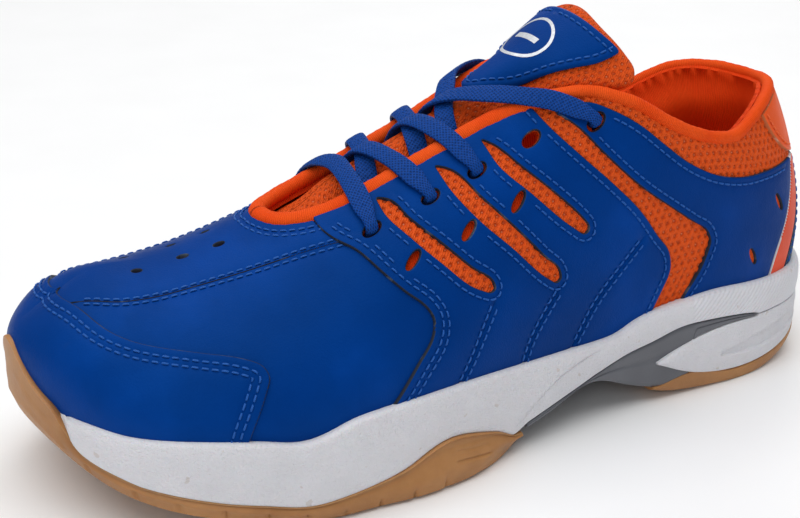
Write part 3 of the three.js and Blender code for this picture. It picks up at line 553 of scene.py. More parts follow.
def sheet(chart, outline, holes=(), low=0.0, high=BASE_TOP, step=2.4, edge=0.55, rows=(), creases=(),
          pillow=0, fine=None, fine_step=0.6, relief=None):
    """A closed sheet between two heights above the upper's surface, with eased edges and sunk seam lines.
    low and high are numbers or functions of (Q, v). edge is the radius of the upper edge, and pillow rounds
    both faces over that many mm. The rims and the edge take the second material.
    """
    seams = []
    for row in [*rows, *creases]:
        seams.append((row, 0.8))
        seams += [(beside(row, d), 0.8) for d in (-0.8, 0.8)]
    for row in creases:
        seams += [(beside(row, d), 0.8) for d in (-0.4, 0.4)]
    rings = (0.4, 1.0, 1.8) if pillow else ((0.28, edge) if edge else ())
    qv, tri, border = cut(chart, outline, holes, step, seams, rings, fine, fine_step)
    Q, v = qv[:, 0], qv[:, 1]
    p, n = surface(Q, v), normal(Q, v)
    top = high(Q, v) if callable(high) else np.full(len(Q), float(high))
    bottom = low(Q, v) if callable(low) else np.full(len(Q), float(low))
    d = near_segments(p, border, p) if (edge or pillow) else np.full(len(Q), 9.0)
    if pillow:
        middle, half = (top + bottom) / 2, (top - bottom) / 2
        share = np.sqrt(1 - (1 - np.clip(d / pillow, 0, 1)) ** 2) * 0.86 + 0.14
        top, bottom = middle + half * share, middle - half * share
    elif edge:
        t = 1 - np.clip(d / edge, 0, 1)
        top = top - edge * 0.8 * (1 - np.sqrt(np.maximum(0, 1 - t * t)))
    if rows:
        kd = tree(np.vstack([surface(r[:, 0], r[:, 1]) for r in rows]))
        top = top - SEAM_SUNK * np.exp(-((distances(kd, p) / SEAM_WIDE) ** 2))
    if len(creases):
        kd = tree(np.vstack([surface(r[:, 0], r[:, 1]) for r in creases]))
        top = top - CREASE_DEEP * np.exp(-((distances(kd, p) / CREASE_WIDE) ** 2))
    if relief is not None:
        top = top + relief(Q, v, d)
    facing = np.cross(p[tri[:, 1]] - p[tri[:, 0]], p[tri[:, 2]] - p[tri[:, 0]])
    if (facing * n[tri[:, 0]]).sum() < 0:
        tri = tri[:, ::-1]
    count = len(p)
    walls = [[a, b, b + count, a + count] for a, b in border]
    faces = tri.tolist() + (tri[:, ::-1] + count).tolist() + walls
    rim = (d[tri].max(1) < 0.36).astype(int) if edge else np.zeros(len(tri), int)
    slots = rim.tolist() + [0] * len(tri) + [1] * len(walls)
    weave = fabric_place(Q, v)
    solid = np.vstack([p + n * top[:, None], p + n * bottom[:, None]])
    return Body().add(solid, faces, slots, np.vstack([weave, weave]))


# ---- stitching ----
# length of a stitch, space between two, and radius of the thread
STITCH = 2.05
STITCH_GAP = 0.65
THREAD = 0.27


def along_line(points, spacing):
    """The distance along a 3-D line at each of its points, and where along it the stitches start."""
    travelled = distance_along(points)
    return travelled, np.arange(spacing * 0.5, travelled[-1] - spacing, spacing)


def stitches(rows, height, lift=None):
    """Rows of single stitches: short threads that rise out of the panel and dip back into it."""
    body = Body()
    rise = np.array([-0.45, -0.02, 0.12, 0.16, 0.12, -0.02, -0.45])
    share = np.array([0, 0.06, 0.22, 0.5, 0.78, 0.94, 1])
    turn = np.arange(6) / 6 * 2 * np.pi
    for row in rows:
        extra = lift(row[:, 0], row[:, 1]) if lift else 0
        line = place(row[:, 0], row[:, 1], height + extra + np.zeros(len(row)))
        out = normal(row[:, 0], row[:, 1])
        travelled, starts = along_line(line, STITCH + STITCH_GAP)
        if not len(starts):
            continue
        at = starts[:, None] + share[None, :] * STITCH
        centre = np.stack([np.interp(at, travelled, line[:, k]) for k in range(3)], -1)
        n = unit(np.stack([np.interp(at, travelled, out[:, k]) for k in range(3)], -1))
        along = unit(centre[:, -1:] - centre[:, :1]) + np.zeros_like(centre)
        wide = unit(np.cross(n, along))
        centre = centre + n * rise[None, :, None]
        thick = THREAD * np.array([0.7, 0.95, 1, 1.05, 1, 0.95, 0.7])[None, :, None, None]
        ring = (
            centre[:, :, None]
            + wide[:, :, None] * np.cos(turn)[None, None, :, None] * thick * 1.15
            + n[:, :, None] * np.sin(turn)[None, None, :, None] * thick * 0.9
        )
        for r in ring:
            body.grid(r, caps=True)
    return body


def mirrored(points):
    return [[-q, v] for q, v in points]


def by_side(side, points):
    if isinstance(points, np.ndarray):
        return points * [side, 1]
    return points if side > 0 else mirrored(points)


def both_sides(half):
    return [*half, *mirrored(half)[::-1]]


def shifted(points, dq, dv):
    return [[q + dq, v + dv] for q, v in points]


def oval(q, v, along_q, along_v, count=12, turn=0.0):
    result = []
    for i in range(count):
        a = i / count * 2 * math.pi
        x, y = math.cos(a) * along_q, math.sin(a) * along_v
        c, s = math.cos(turn), math.sin(turn)
        result.append([q + (x * c - y * s) / MM_PER_Q, v + (x * s + y * c) / MM_PER_V])
    return result


# ---- outlines, close to the CAD's ----
OPENING = [
    [0.715, 1], [0.7095, 0.945], [0.697, 0.885], [0.675, 0.835], [0.641, 0.797], [0.6, 0.782],
    [0.55, 0.782], [0.5, 0.78], [0.463, 0.775], [0.43, 0.757], [0.396, 0.727], [0.37, 0.695],
    [0.343, 0.652], [0.324, 0.608], [0.295, 0.537], [0.276, 0.484], [0.254, 0.44], [0.229, 0.41],
    [0.206, 0.398], [0.176, 0.403], [0.148, 0.437], [0.1, 0.503], [0.05, 0.565], [0, 0.6],
]
TOE_CAP_EDGE = [
    [0.772, -0.04], [0.765, 0.088], [0.756, 0.18], [0.748, 0.258], [0.743, 0.31], [0.748, 0.355],
    [0.763, 0.39], [0.8, 0.438], [0.834, 0.478], [0.86, 0.512], [0.888, 0.565], [0.916, 0.657],
    [0.941, 0.76], [0.956, 0.88], [0.962, 0.9999],
]
VAMP_SEAM = [
    [0.9999, 0.69], [0.95, 0.72], [0.919, 0.718], [0.881, 0.71], [0.843, 0.715], [0.794, 0.726],
    [0.743, 0.718], [0.689, 0.693], [0.638, 0.65],
]
MESH_FRONT = [
    [0.655, 0.84], [0.645, 0.74], [0.634, 0.69], [0.63, 0.64], [0.612, 0.58], [0.592, 0.5],
    [0.57, 0.4], [0.548, 0.3], [0.54, 0.25], [0.556, 0.16], [0.58, 0.06], [0.6, -0.05],
]
SADDLE_FRONT = [
    [0.664, 0.84], [0.659, 0.73], [0.65, 0.672], [0.633, 0.6], [0.615, 0.49], [0.597, 0.393],
    [0.581, 0.323], [0.576, 0.275], [0.581, 0.225], [0.599, 0.163], [0.616, 0.098], [0.635, 0.015],
    [0.642, -0.04],
]
SADDLE_REAR = [
    [0.329, -0.04], [0.302, 0.06], [0.289, 0.12], [0.291, 0.16], [0.304, 0.21], [0.32, 0.283],
    [0.349, 0.395], [0.375, 0.503], [0.396, 0.62], [0.412, 0.8],
]
HEEL_PANEL_FRONT = [
    [0.291, -0.04], [0.269, 0.03], [0.25, 0.085], [0.236, 0.15], [0.241, 0.178], [0.26, 0.212],
    [0.283, 0.26], [0.316, 0.343], [0.352, 0.482], [0.371, 0.588], [0.388, 0.665],
]
COLLAR_LINE = [
    [0.352, 0.632], [0.329, 0.57], [0.301, 0.485], [0.283, 0.425], [0.256, 0.355], [0.225, 0.313],
    [0.18, 0.298], [0.144, 0.308], [0.1, 0.328], [0.075, 0.338],
]
SLOTS = [
    [
        [0.593, 0.728], [0.582, 0.7], [0.569, 0.6], [0.547, 0.48], [0.524, 0.37], [0.506, 0.305],
        [0.505, 0.285], [0.512, 0.28], [0.528, 0.316], [0.552, 0.417], [0.575, 0.54], [0.591, 0.657],
    ],
    [
        [0.521, 0.725], [0.51, 0.69], [0.49, 0.545], [0.469, 0.43], [0.443, 0.312], [0.427, 0.25],
        [0.427, 0.232], [0.434, 0.228], [0.448, 0.264], [0.475, 0.368], [0.5, 0.482], [0.517, 0.618],
    ],
    [
        [0.466, 0.722], [0.458, 0.685], [0.44, 0.572], [0.416, 0.46], [0.394, 0.37], [0.385, 0.33],
        [0.386, 0.316], [0.393, 0.315], [0.413, 0.376], [0.439, 0.486], [0.461, 0.608],
    ],
]
EYELETS = [[0.61, 0.632], [0.54, 0.632], [0.484, 0.634], [0.42, 0.63], [0.35, 0.566]]
PUNCHES = [[0.581, 0.475], [0.516, 0.478], [0.456, 0.485]]
HEEL_SLOTS = [[0.125, 0.225], [0.173, 0.088]]
VAMP_HOLES = [[0.86, 0.895], [0.809, 0.915], [0.768, 0.908]]
STRIPE_FRONT = [[0.143, -0.04], [0.13, 0.08], [0.108, 0.18], [0.078, 0.338]]
STRIPE_REAR = [[0.112, -0.04], [0.098, 0.08], [0.078, 0.18], [0.052, 0.338]]
HEEL_TAB = [
    [0.0, 0.345], [0.07, 0.349], [0.095, 0.362], [0.118, 0.41], [0.128, 0.46], [0.1, 0.6], [0.03, 0.7],
]
# seams that run down the saddle from the slots' ends to the sole
FINGER_SEAMS = [
    [[0.509, 0.247], [0.527, 0.173], [0.544, 0.088], [0.56, 0.0]],
    [[0.43, 0.208], [0.451, 0.158], [0.469, 0.098], [0.481, 0.01]],
    [[0.323, 0.223], [0.348, 0.188], [0.386, 0.125], [0.416, 0.025]],
]
SIDES = [(1, "lateral"), (-1, "medial")]


def opening_edge(d):
    """The opening's half line moved d mm away from the opening."""
    result = []
    for i, (q, v) in enumerate(OPENING):
        q0, v0 = OPENING[max(0, i - 1)]
        q1, v1 = OPENING[min(len(OPENING) - 1, i + 1)]
        x, y = (q1 - q0) * MM_PER_Q, (v1 - v0) * MM_PER_V
        if i == 0:
            x, y = 0, -1
        if i == len(OPENING) - 1:
            x, y = -1, 0
        size = math.hypot(x, y)
        result.append([q - y / size * d / MM_PER_Q, v + x / size * d / MM_PER_V])
    return result


def side_opening(side, d):
    edge = opening_edge(d)
    return by_side(side, [*edge, [-0.05, edge[-1][1]], [-0.05, 1.1], [0.8, 1.1]])


def heel_opening(d):
    edge = opening_edge(d)
    return [[0.8, 1.1], *edge, *mirrored(edge)[::-1][1:], [-0.8, 1.1]]


def throat_opening(d):
    half = opening_edge(d)
    return both_sides([[half[0][0], 0.9999], *half[1:14], [0.3, 0.6], [0.3, 0.9999]])


def eyelet_hole(eyelet):
    return oval(*eyelet, 3.1, 1.9, 12, -0.15)


def punch_hole(punch):
    return oval(*punch, 3.3, 1.3, 12, -0.6)


# ---- materials ----
class Nodes:
    """A material's node tree, with short ways to add and join nodes."""

    def __init__(self, name):
        self.material = bpy.data.materials.new(name)
        self.material.use_nodes = True
        self.tree = self.material.node_tree
        self.shader = self.tree.nodes["Principled BSDF"]
        self.height = None

    def add(self, kind, inputs=(), **settings):
        node = self.tree.nodes.new("ShaderNode" + kind)
        for key, value in settings.items():
            setattr(node, key, value)
        for key, value in dict(inputs).items():
            self.put(node, key, value)
        return node

    def put(self, node, key, value):
        if isinstance(value, bpy.types.NodeSocket):
            self.tree.links.new(value, node.inputs[key])
        else:
            node.inputs[key].default_value = value

    def math(self, operation, a, b=0.0, c=0.0):
        return self.add("Math", {0: a, 1: b, 2: c}, operation=operation).outputs[0]

    def scaled(self, vector, scale):
        size = (scale,) * 3 if isinstance(scale, (int, float)) else scale
        return self.add("VectorMath", {0: vector, 1: size}, operation="MULTIPLY").outputs[0]

    def space(self):
        """The row frame in millimetres, carried with the piece."""
        return self.scaled(self.add("TexCoord").outputs["Object"], 1000.0)

    def weave(self):
        return self.add("Attribute", attribute_name="weave").outputs["Vector"]

    def noise(self, vector, size, detail=3.0, rough=0.5):
        inputs = {"Vector": vector, "Scale": 1 / size, "Detail": detail, "Roughness": rough}
        return self.add("TexNoise", inputs).outputs["Fac"]

    def cells(self, vector, size):
        return self.add("TexVoronoi", {"Vector": vector, "Scale": 1 / size}).outputs["Distance"]

    def bands(self, vector, scale, direction="DIAGONAL", **inputs):
        inputs = {key.replace("_", " "): value for key, value in inputs.items()}
        inputs |= {"Vector": vector, "Scale": scale}
        return self.add("TexWave", inputs, bands_direction=direction).outputs["Fac"]

    def hexagons(self, at, pitch):
        """1 at the centres of the mesh's open cells, falling to -0.5 between them."""
        part = self.add("SeparateXYZ", {0: at}).outputs
        size = 2 * math.pi * 1.1547 / pitch
        x, y = (self.math("MULTIPLY", part[i], size * k) for i, k in ((0, 0.866), (1, 0.5)))
        waves = [self.math("ADD", y, y), self.math("ADD", x, y), self.math("SUBTRACT", x, y)]
        a, b, c = (self.math("COSINE", w) for w in waves)
        return self.math("DIVIDE", self.math("ADD", self.math("ADD", a, b), c), 3.0)

    def ramp(self, value, *stops):
        node = self.add("ValToRGB", {0: value})
        band = node.color_ramp
        while len(band.elements) < len(stops):
            band.elements.new(0.5)
        for element, (at, colour) in zip(band.elements, stops):
            element.position = at
            element.color = (*colour, 1) if hasattr(colour, "__len__") else (colour, colour, colour, 1)
        return node.outputs["Color"]

    def range(self, value, low, high, to_low, to_high):
        inputs = {0: value, 1: low, 2: high, 3: to_low, 4: to_high}
        return self.add("MapRange", inputs).outputs[0]

    def mix(self, share, a, b, blend="MIX"):
        node = self.add("Mix", data_type="RGBA", blend_type=blend)
        sockets = {"Factor": 0, "A": 6, "B": 7}
        for key, value in (("Factor", share), ("A", a), ("B", b)):
            if hasattr(value, "__len__") and not isinstance(value, bpy.types.NodeSocket):
                value = (*value, 1)
            self.put(node, sockets[key], value)
        return node.outputs[2]

    def bump(self, height, depth_mm, strength=1.0):
        """Adds a relief depth_mm deep for heights from 0 to 1, on top of any already there."""
        inputs = {"Height": height, "Distance": depth_mm * MM, "Strength": strength}
        if self.height is not None:
            inputs["Normal"] = self.height
        self.height = self.add("Bump", inputs).outputs[0]

    def finish(self, **inputs):
        for key, value in inputs.items():
            if isinstance(value, tuple) and not key.endswith("Radius"):
                value = (*value, 1)
            self.put(self.shader, key.replace("_", " "), value)
        if self.height is not None:
            self.put(self.shader, "Normal", self.height)
        return self.material


def synthetic(name, colour, worn=1.35):
    """Satin coated synthetic leather: fine pores, faint cloudy wear and a soft sheen."""
    n = Nodes(name)
    at = n.space()
    cloud = n.noise(at, 38, 4)
    scuff = n.noise(at, 6, 5, 0.65)
    deep = tuple(c * 0.82 for c in colour)
    light = tuple(min(1, c * worn + 0.0008) for c in colour)
    base = n.ramp(cloud, (0.3, deep), (0.52, colour), (0.75, light))
    specks = n.range(scuff, 0.66, 0.78, 0.0, 0.2)
    base = n.mix(specks, base, tuple(c * 0.9 + 0.008 for c in colour))
    n.bump(n.cells(at, 0.55), 0.045)
    n.bump(n.noise(at, 1.6, 4, 0.6), 0.06)
    n.bump(n.noise(at, 14, 2), 0.25)
    rough = n.range(scuff, 0.3, 0.7, 0.4, 0.52)
    gloss = tuple((c / max(colour)) ** 0.25 for c in colour)
    return n.finish(Base_Color=base, Roughness=rough, Specular_IOR_Level=0.09, Specular_Tint=gloss,
                    Sheen_Weight=0.02, Sheen_Roughness=0.4, Sheen_Tint=gloss)


def raw_edge(name, colour, light):
    """The cut edge of a panel: dark, with the pale backing showing here and there."""
    n = Nodes(name)
    at = n.space()
    show = n.range(n.noise(at, 5, 4, 0.6), 0.56, 0.7, 0.0, 0.6)
    base = n.mix(show, colour, light)
    n.bump(n.noise(at, 0.5, 2), 0.1)
    return n.finish(Base_Color=base, Roughness=0.75)


def spacer_mesh(name, colour, shade):
    """Knitted spacer mesh: rows of small loops round open cells, with shiny yarn. The open cells are darkened
    with painted shade, and painted glints light their centres.
    """
    n = Nodes(name)
    at = n.weave()
    yarn = n.bands(at, 0.62, Distortion=2.5, Detail=1.5, Detail_Scale=1.4)
    fibre = n.noise(n.scaled(at, (1.0, 3.0, 1.0)), 0.35, 3, 0.6)
    cells = n.cells(n.scaled(at, (1.0, 1.15, 1.0)), LOOP_SIZE)
    hexes = n.hexagons(at, MESH_PITCH)
    # painted shade: where open_ falls, in the open cells and the small holes between loops, base is darkened
    # towards shade
    open_ = n.math("MULTIPLY", n.range(cells, 0.1, 0.4, 0.45, 1.0), n.range(hexes, 0.1, 0.75, 1.0, 0.25))
    base = n.mix(open_, shade, colour)
    patches = n.range(n.noise(at, 3.0, 2), 0.4, 0.6, 0.2, 1.0)
    # painted highlight: pale glints at the open cells' centres, in patches
    glint = n.math("MULTIPLY", n.range(hexes, 0.8, 0.95, 0.0, 0.6), patches)
    base = n.mix(glint, base, (0.85, 0.38, 0.2))
    light = tuple(min(1, c * 1.35 + 0.02) for c in colour)
    base = n.mix(n.range(fibre, 0.35, 0.75, 0.0, 0.45), base, light)
    n.bump(open_, 0.22)
    n.bump(yarn, 0.16)
    n.bump(fibre, 0.1)
    rough = n.range(fibre, 0.3, 0.7, 0.42, 0.75)
    return n.finish(Base_Color=base, Roughness=rough, Sheen_Weight=0.08, Sheen_Roughness=0.35,
                    Sheen_Tint=(1, 0.4, 0.1), Specular_IOR_Level=0.14)


def knit(name, colour, light, rib=0.62, angle=(1.0, 0.35, 0.0)):
    """Smooth fine knit: narrow slanted ribs with painted shade between them, and a brushed surface."""
    n = Nodes(name)
    at = n.weave()
    ribs_ = n.bands(n.scaled(at, angle), 0.314 / rib, "X", Distortion=0.6, Detail=1.0)
    fuzz = n.noise(n.space(), 0.6, 4, 0.7)
    cloud = n.noise(n.space(), 16, 3)
    base = n.mix(n.range(cloud, 0.3, 0.7, 0.0, 1.0), colour, light)
    # painted shade: the grooves between the ribs are darkened
    base = n.mix(n.range(ribs_, 0.0, 0.5, 0.35, 0.0), base, tuple(c * 0.62 for c in colour))
    n.bump(ribs_, 0.16)
    n.bump(fuzz, 0.07)
    return n.finish(Base_Color=base, Roughness=0.72, Sheen_Weight=0.06, Sheen_Roughness=0.5, Sheen_Tint=light,
                    Specular_IOR_Level=0.1)


def braid(name, colour, light):
    """Flat braided polyester: fine yarn grain over the modelled braid, with painted shade in the gaps between
    the yarns.
    """
    n = Nodes(name)
    at = n.weave()
    yarns = [n.bands(n.scaled(at, (1.0, way, 0.0)), 0.5, Distortion=1.0) for way in (1.0, -1.0)]
    both = n.math("MAXIMUM", *yarns)
    fibre = n.noise(at, 0.3, 3, 0.6)
    # painted shade: the gaps between the crossing yarns are darkened
    base = n.mix(n.range(both, 0.4, 1.0, 0.0, 1.0), tuple(c * 0.4 for c in colour), colour)
    base = n.mix(n.range(fibre, 0.5, 0.8, 0.0, 0.5), base, light)
    n.bump(both, 0.14)
    n.bump(fibre, 0.08)
    return n.finish(Base_Color=base, Roughness=0.6, Sheen_Weight=0.1, Sheen_Roughness=0.4, Sheen_Tint=light,
                    Specular_IOR_Level=0.14)


def thread(name, colour, light):
    """Stitching thread: twisted yarn with a soft shine."""
    n = Nodes(name)
    at = n.space()
    twist = n.bands(at, 1.6, Distortion=1.0)
    base = n.mix(twist, colour, light)
    n.bump(twist, 0.05)
    return n.finish(Base_Color=base, Roughness=0.5, Sheen_Weight=0.1, Sheen_Tint=light,
                    Specular_IOR_Level=0.3)


def foam(name, colour, ribbed=False):
    """Moulded foam skin: stippled, slightly dusty, a few scuffs."""
    n = Nodes(name)
    at = n.space()
    dust = n.noise(at, 22, 5, 0.6)
    base = n.ramp(dust, (0.3, tuple(c * 0.93 for c in colour)), (0.6, colour))
    marks = n.range(n.noise(at, 3.2, 2, 0.4), 0.735, 0.76, 0.0, 0.35)
    base = n.mix(marks, base, (0.45, 0.36, 0.28))
    stipple = n.noise(at, 0.8, 3, 0.6)
    n.bump(stipple, 0.6 if not ribbed else 0.2)
    n.bump(n.noise(at, 7, 3), 0.4)
    if ribbed:
        n.bump(n.bands(n.weave(), 0.3, Distortion=0.0), 0.16)
    return n.finish(Base_Color=base, Roughness=0.62, Specular_IOR_Level=0.35, Subsurface_Weight=0.08,
                    Subsurface_Scale=0.004)


def gum(name, colour, deep):
    """Gum rubber: warm, slightly translucent, with mould marks."""
    n = Nodes(name)
    at = n.space()
    cloud = n.noise(at, 18, 4, 0.6)
    base = n.ramp(cloud, (0.3, deep), (0.62, colour))
    n.bump(n.noise(at, 0.9, 3, 0.55), 0.07)
    n.bump(n.noise(at, 10, 2), 0.3)
    rough = n.range(cloud, 0.3, 0.7, 0.42, 0.56)
    return n.finish(Base_Color=base, Roughness=rough, Subsurface_Weight=0.3, Subsurface_Scale=0.004,
                    Subsurface_Radius=(1.0, 0.5, 0.2), Specular_IOR_Level=0.4)


def plastic(name, colour):
    """Satin moulded plastic with a fine spark-eroded grain."""
    n = Nodes(name)
    at = n.space()
    cloud = n.noise(at, 12, 3)
    base = n.ramp(cloud, (0.3, tuple(c * 0.85 for c in colour)), (0.7, colour))
    n.bump(n.noise(at, 0.4, 2), 0.03)
    rough = n.range(n.noise(at, 2.5, 4), 0.3, 0.7, 0.3, 0.42)
    return n.finish(Base_Color=base, Roughness=rough, Specular_IOR_Level=0.5)


def board(name, colour):
    """Pressed fibre board, inside the shoe."""
    n = Nodes(name)
    at = n.space()
    base = n.ramp(n.noise(at, 1.2, 5, 0.7), (0.3, tuple(c * 0.8 for c in colour)), (0.7, colour))
    n.bump(n.noise(at, 0.5, 3), 0.1)
    return n.finish(Base_Color=base, Roughness=0.85)


def printed(name, colour):
    """A thin matt print on the label."""
    n = Nodes(name)
    at = n.space()
    base = n.ramp(n.noise(at, 1.0, 4), (0.3, tuple(c * 0.8 for c in colour)), (0.7, colour))
    n.bump(n.noise(at, 0.3, 2), 0.02)
    return n.finish(Base_Color=base, Roughness=0.4, Metallic=0.25)


BLUE = (0.0003, 0.036, 0.22)
LOOK = {
    "blue": synthetic("synthetic blue", BLUE),
    "blue_dark": synthetic("synthetic deep blue", (0.002, 0.04, 0.11)),
    "salmon": synthetic("synthetic salmon", (0.84, 0.1, 0.045), 1.05),
    "tab": synthetic("synthetic orange", (0.92, 0.115, 0.02), 1.05),
    "edge": raw_edge("raw edge navy", (0.003, 0.008, 0.022), (0.1, 0.13, 0.18)),
    "edge_orange": raw_edge("raw edge orange", (0.5, 0.12, 0.03), (0.7, 0.5, 0.4)),
    # the mesh's second colour is the painted shade in its open cells
    "mesh": spacer_mesh("spacer mesh orange", (0.74, 0.082, 0.004), (0.34, 0.028, 0.002)),
    "knit": knit("knit lining orange", (0.74, 0.042, 0.002), (0.86, 0.075, 0.006)),
    "binding": knit("binding orange", (0.86, 0.07, 0.005), (0.95, 0.11, 0.012), 0.6, (1.0, 0.6, 0.0)),
    "lace": braid("lace royal blue", (0.001, 0.055, 0.31), (0.01, 0.12, 0.5)),
    "thread": thread("thread blue", (0.002, 0.05, 0.3), (0.015, 0.14, 0.5)),
    "thread_orange": thread("thread orange", (0.8, 0.08, 0.01), (0.95, 0.2, 0.05)),
    "foam": foam("midsole foam white", (0.74, 0.735, 0.775)),
    "foam_heel": foam("heel foam white", (0.72, 0.715, 0.76), True),
    "gum": gum("gum rubber", (0.43, 0.205, 0.072), (0.31, 0.135, 0.043)),
    "shank": plastic("shank grey", (0.115, 0.12, 0.138)),
    "board": board("board", (0.68, 0.63, 0.52)),
    "print": printed("print silver", (0.72, 0.74, 0.78)),
}
PANEL = [LOOK["blue"], LOOK["edge"]]


# ---- the upper ----
def over_ridge(chart, half):
    """The smooth line of a half outline that ends at the ridge, carried on over the other side."""
    whole = [*half[:-1], [half[-1][0], 1.0], *mirrored(half[:-1])[::-1]]
    return smooth_line(chart, whole, False, corner=75)


def stepped(chart, line, outline, distance, closed=False):
    """The line moved by distance mm to whichever side lies within the outline."""
    shape = chart.to(np.array(outline, float))
    moved = beside(line, distance, closed)
    if inside(shape, chart.to(moved)).mean() <= 0.5:
        moved = beside(line, -distance, closed)
    return moved[(line[:, 1] < 0.997) & (moved[:, 1] < 0.985)]


def stretches(ok):
    """Start and end of each run of true values."""
    result, start = [], None
    for i, good in enumerate([*ok, False]):
        if good and start is None:
            start = i
        if not good and start is not None:
            result.append((start, i))
            start = None
    return result


def apart(rows, holes, clear):
    """The rows cut short of the holes."""
    edges = tree(np.vstack([surface(*np.array(h).T) for h in holes]))
    result = []
    for row in rows:
        good = distances(edges, surface(row[:, 0], row[:, 1])) > clear
        result += [row[start:end] for start, end in stretches(good)]
    return [r for r in result if len(r) > 6]


def clipped(row, keep):
    """The longest stretch of the row that passes keep."""
    start, end = max(stretches(keep(row)), key=lambda pair: pair[1] - pair[0], default=(0, 0))
    return row[start:end]


def above_sole(row):
    return clipped(row, lambda r: r[:, 1] > 0.012)


def stitched(name, rows, height, material="thread", ride="shoe", slot="synthetic_blue", lift=None):
    """One piece for all of a panel's stitching."""
    rows = [r for r in rows if len(r) > 3]
    stitches(rows, height, lift).make(name, [LOOK[material]], ride, slot=slot, sharp=80)


def toe_cap():
    half = TOE_CAP_EDGE[::-1]
    outline = both_sides([*half, [0.86, -0.08], [0.94, -0.08], [0.9999, -0.08]])
    line = over_ridge(ToeChart, TOE_CAP_EDGE)
    rows = [above_sole(stepped(ToeChart, line, outline, d)) for d in (2.6, 4.6)]
    sheet(ToeChart, outline, low=OVERLAY_LOW, high=OVERLAY_TOP, step=2.4, edge=0.6, rows=rows).make(
        "toe_cap_panel", PANEL, replaces=["toe_cap"], slot="synthetic_blue")
    stitched("toe_cap_stitching", rows, OVERLAY_TOP)


def vamp():
    rear = shifted(MESH_FRONT[:4], 0.012, 0)[::-1]
    outline = both_sides([*VAMP_SEAM, *rear[1:], [0.7, 0.9], [0.7, 0.9999]])
    vents = [oval(q, v, 2.0, 1.15, 8, 0.3) for q, v in VAMP_HOLES]
    holes = [throat_opening(0.6), *vents, *[mirrored(vent) for vent in vents]]
    seam = [p for p in VAMP_SEAM if p[0] < 0.97]
    cap_line = smooth_line(SideChart, TOE_CAP_EDGE, False)
    seam_row = apart([smooth_line(SideChart, shifted(seam, 0, 0.012), False)], [cap_line], 1.6)[:1]
    seam_row = [clipped(r, lambda x: x[:, 0] < 0.93) for r in seam_row]
    upper = [by_side(s, r) for s in (1, -1) for r in seam_row]
    around, second = (over_ridge(ToeChart, opening_edge(d)[:6][::-1]) for d in (4.8, 6.6))
    sheet(ToeChart, outline, holes, high=VAMP_TOP, step=2.4, edge=0.5, rows=[*upper, around]).make(
        "vamp_panel", PANEL, replaces=["vamp"], slot="synthetic_blue")
    stitched("vamp_stitching", [*upper, around, second], VAMP_TOP)


def side_vamps():
    for side, label in SIDES:
        seam = [[min(q, 0.998), v] for q, v in shifted(VAMP_SEAM, 0, 0.02)]
        rear = shifted(MESH_FRONT[3:], 0.012, 0)
        outline = by_side(side, [*seam, *rear, [0.998, -0.05]])
        lower = smooth_line(SideChart, shifted([p for p in VAMP_SEAM if p[0] < 0.97], 0, -0.014), False)
        lower = clipped(lower, lambda r: r[:, 0] < 0.925)
        row = by_side(side, lower)
        sheet(SideChart, outline, high=BASE_TOP, step=2.6, edge=0, rows=[row]).make(
            f"side_vamp_panel_{label}", PANEL, replaces=[f"side_vamp_{label}"], slot="synthetic_blue")
        stitched(f"side_vamp_stitching_{label}", [row], BASE_TOP)


def dimples(Q, v):
    """Round open cells of the spacer mesh in a staggered grid, from 0 to -1."""
    at = fabric_place(np.abs(Q), v) * (2 * math.pi * 1.1547 / MESH_PITCH)
    x, y = at[..., 0], at[..., 1]
    wave = (np.cos(y) + np.cos(0.866 * x + 0.5 * y) + np.cos(0.866 * x - 0.5 * y)) / 3
    return -ramp(wave, 0.05, 0.7)


def quarter_mesh():
    saddle_shape = SideChart.to(np.array([*SADDLE_FRONT, *SADDLE_REAR]))
    slot_shapes = [SideChart.to(np.array(s)) for s in SLOTS]
    heel_shape = SideChart.to(np.array([*HEEL_PANEL_FRONT, *COLLAR_LINE[:-1], [0.0, 0.33], [0.0, -0.05]]))

    def shown(qv):
        p = SideChart.to(np.abs(qv))
        covered = inside(saddle_shape, p)
        for s in slot_shapes:
            covered &= ~inside(s, p)
        return ~covered & ~inside(heel_shape, p)

    def open_cells(Q, v, d):
        qv = np.stack([Q, v], 1)
        return np.where(shown(qv), 0.6 * dimples(Q, v), 0) + 0.15

    cuts = [*[eyelet_hole(e) for e in EYELETS], *[oval(q, v, 3.4, 1.5, 12, -0.6) for q, v in PUNCHES]]
    for side, label in SIDES:
        outline = by_side(side, [[0.0015, -0.05], *MESH_FRONT[::-1], [0.64, 1.05], [0.0015, 1.05]])
        holes = [side_opening(side, 0.4), *[by_side(side, c) for c in cuts]]
        sheet(SideChart, outline, holes, high=BASE_TOP, step=4.0, edge=0, fine=shown, fine_step=0.5,
              relief=open_cells).make(
            f"quarter_mesh_fabric_{label}", [LOOK["mesh"], LOOK["mesh"]], replaces=[f"quarter_mesh_{label}"],
            slot="mesh_orange", sharp=80)


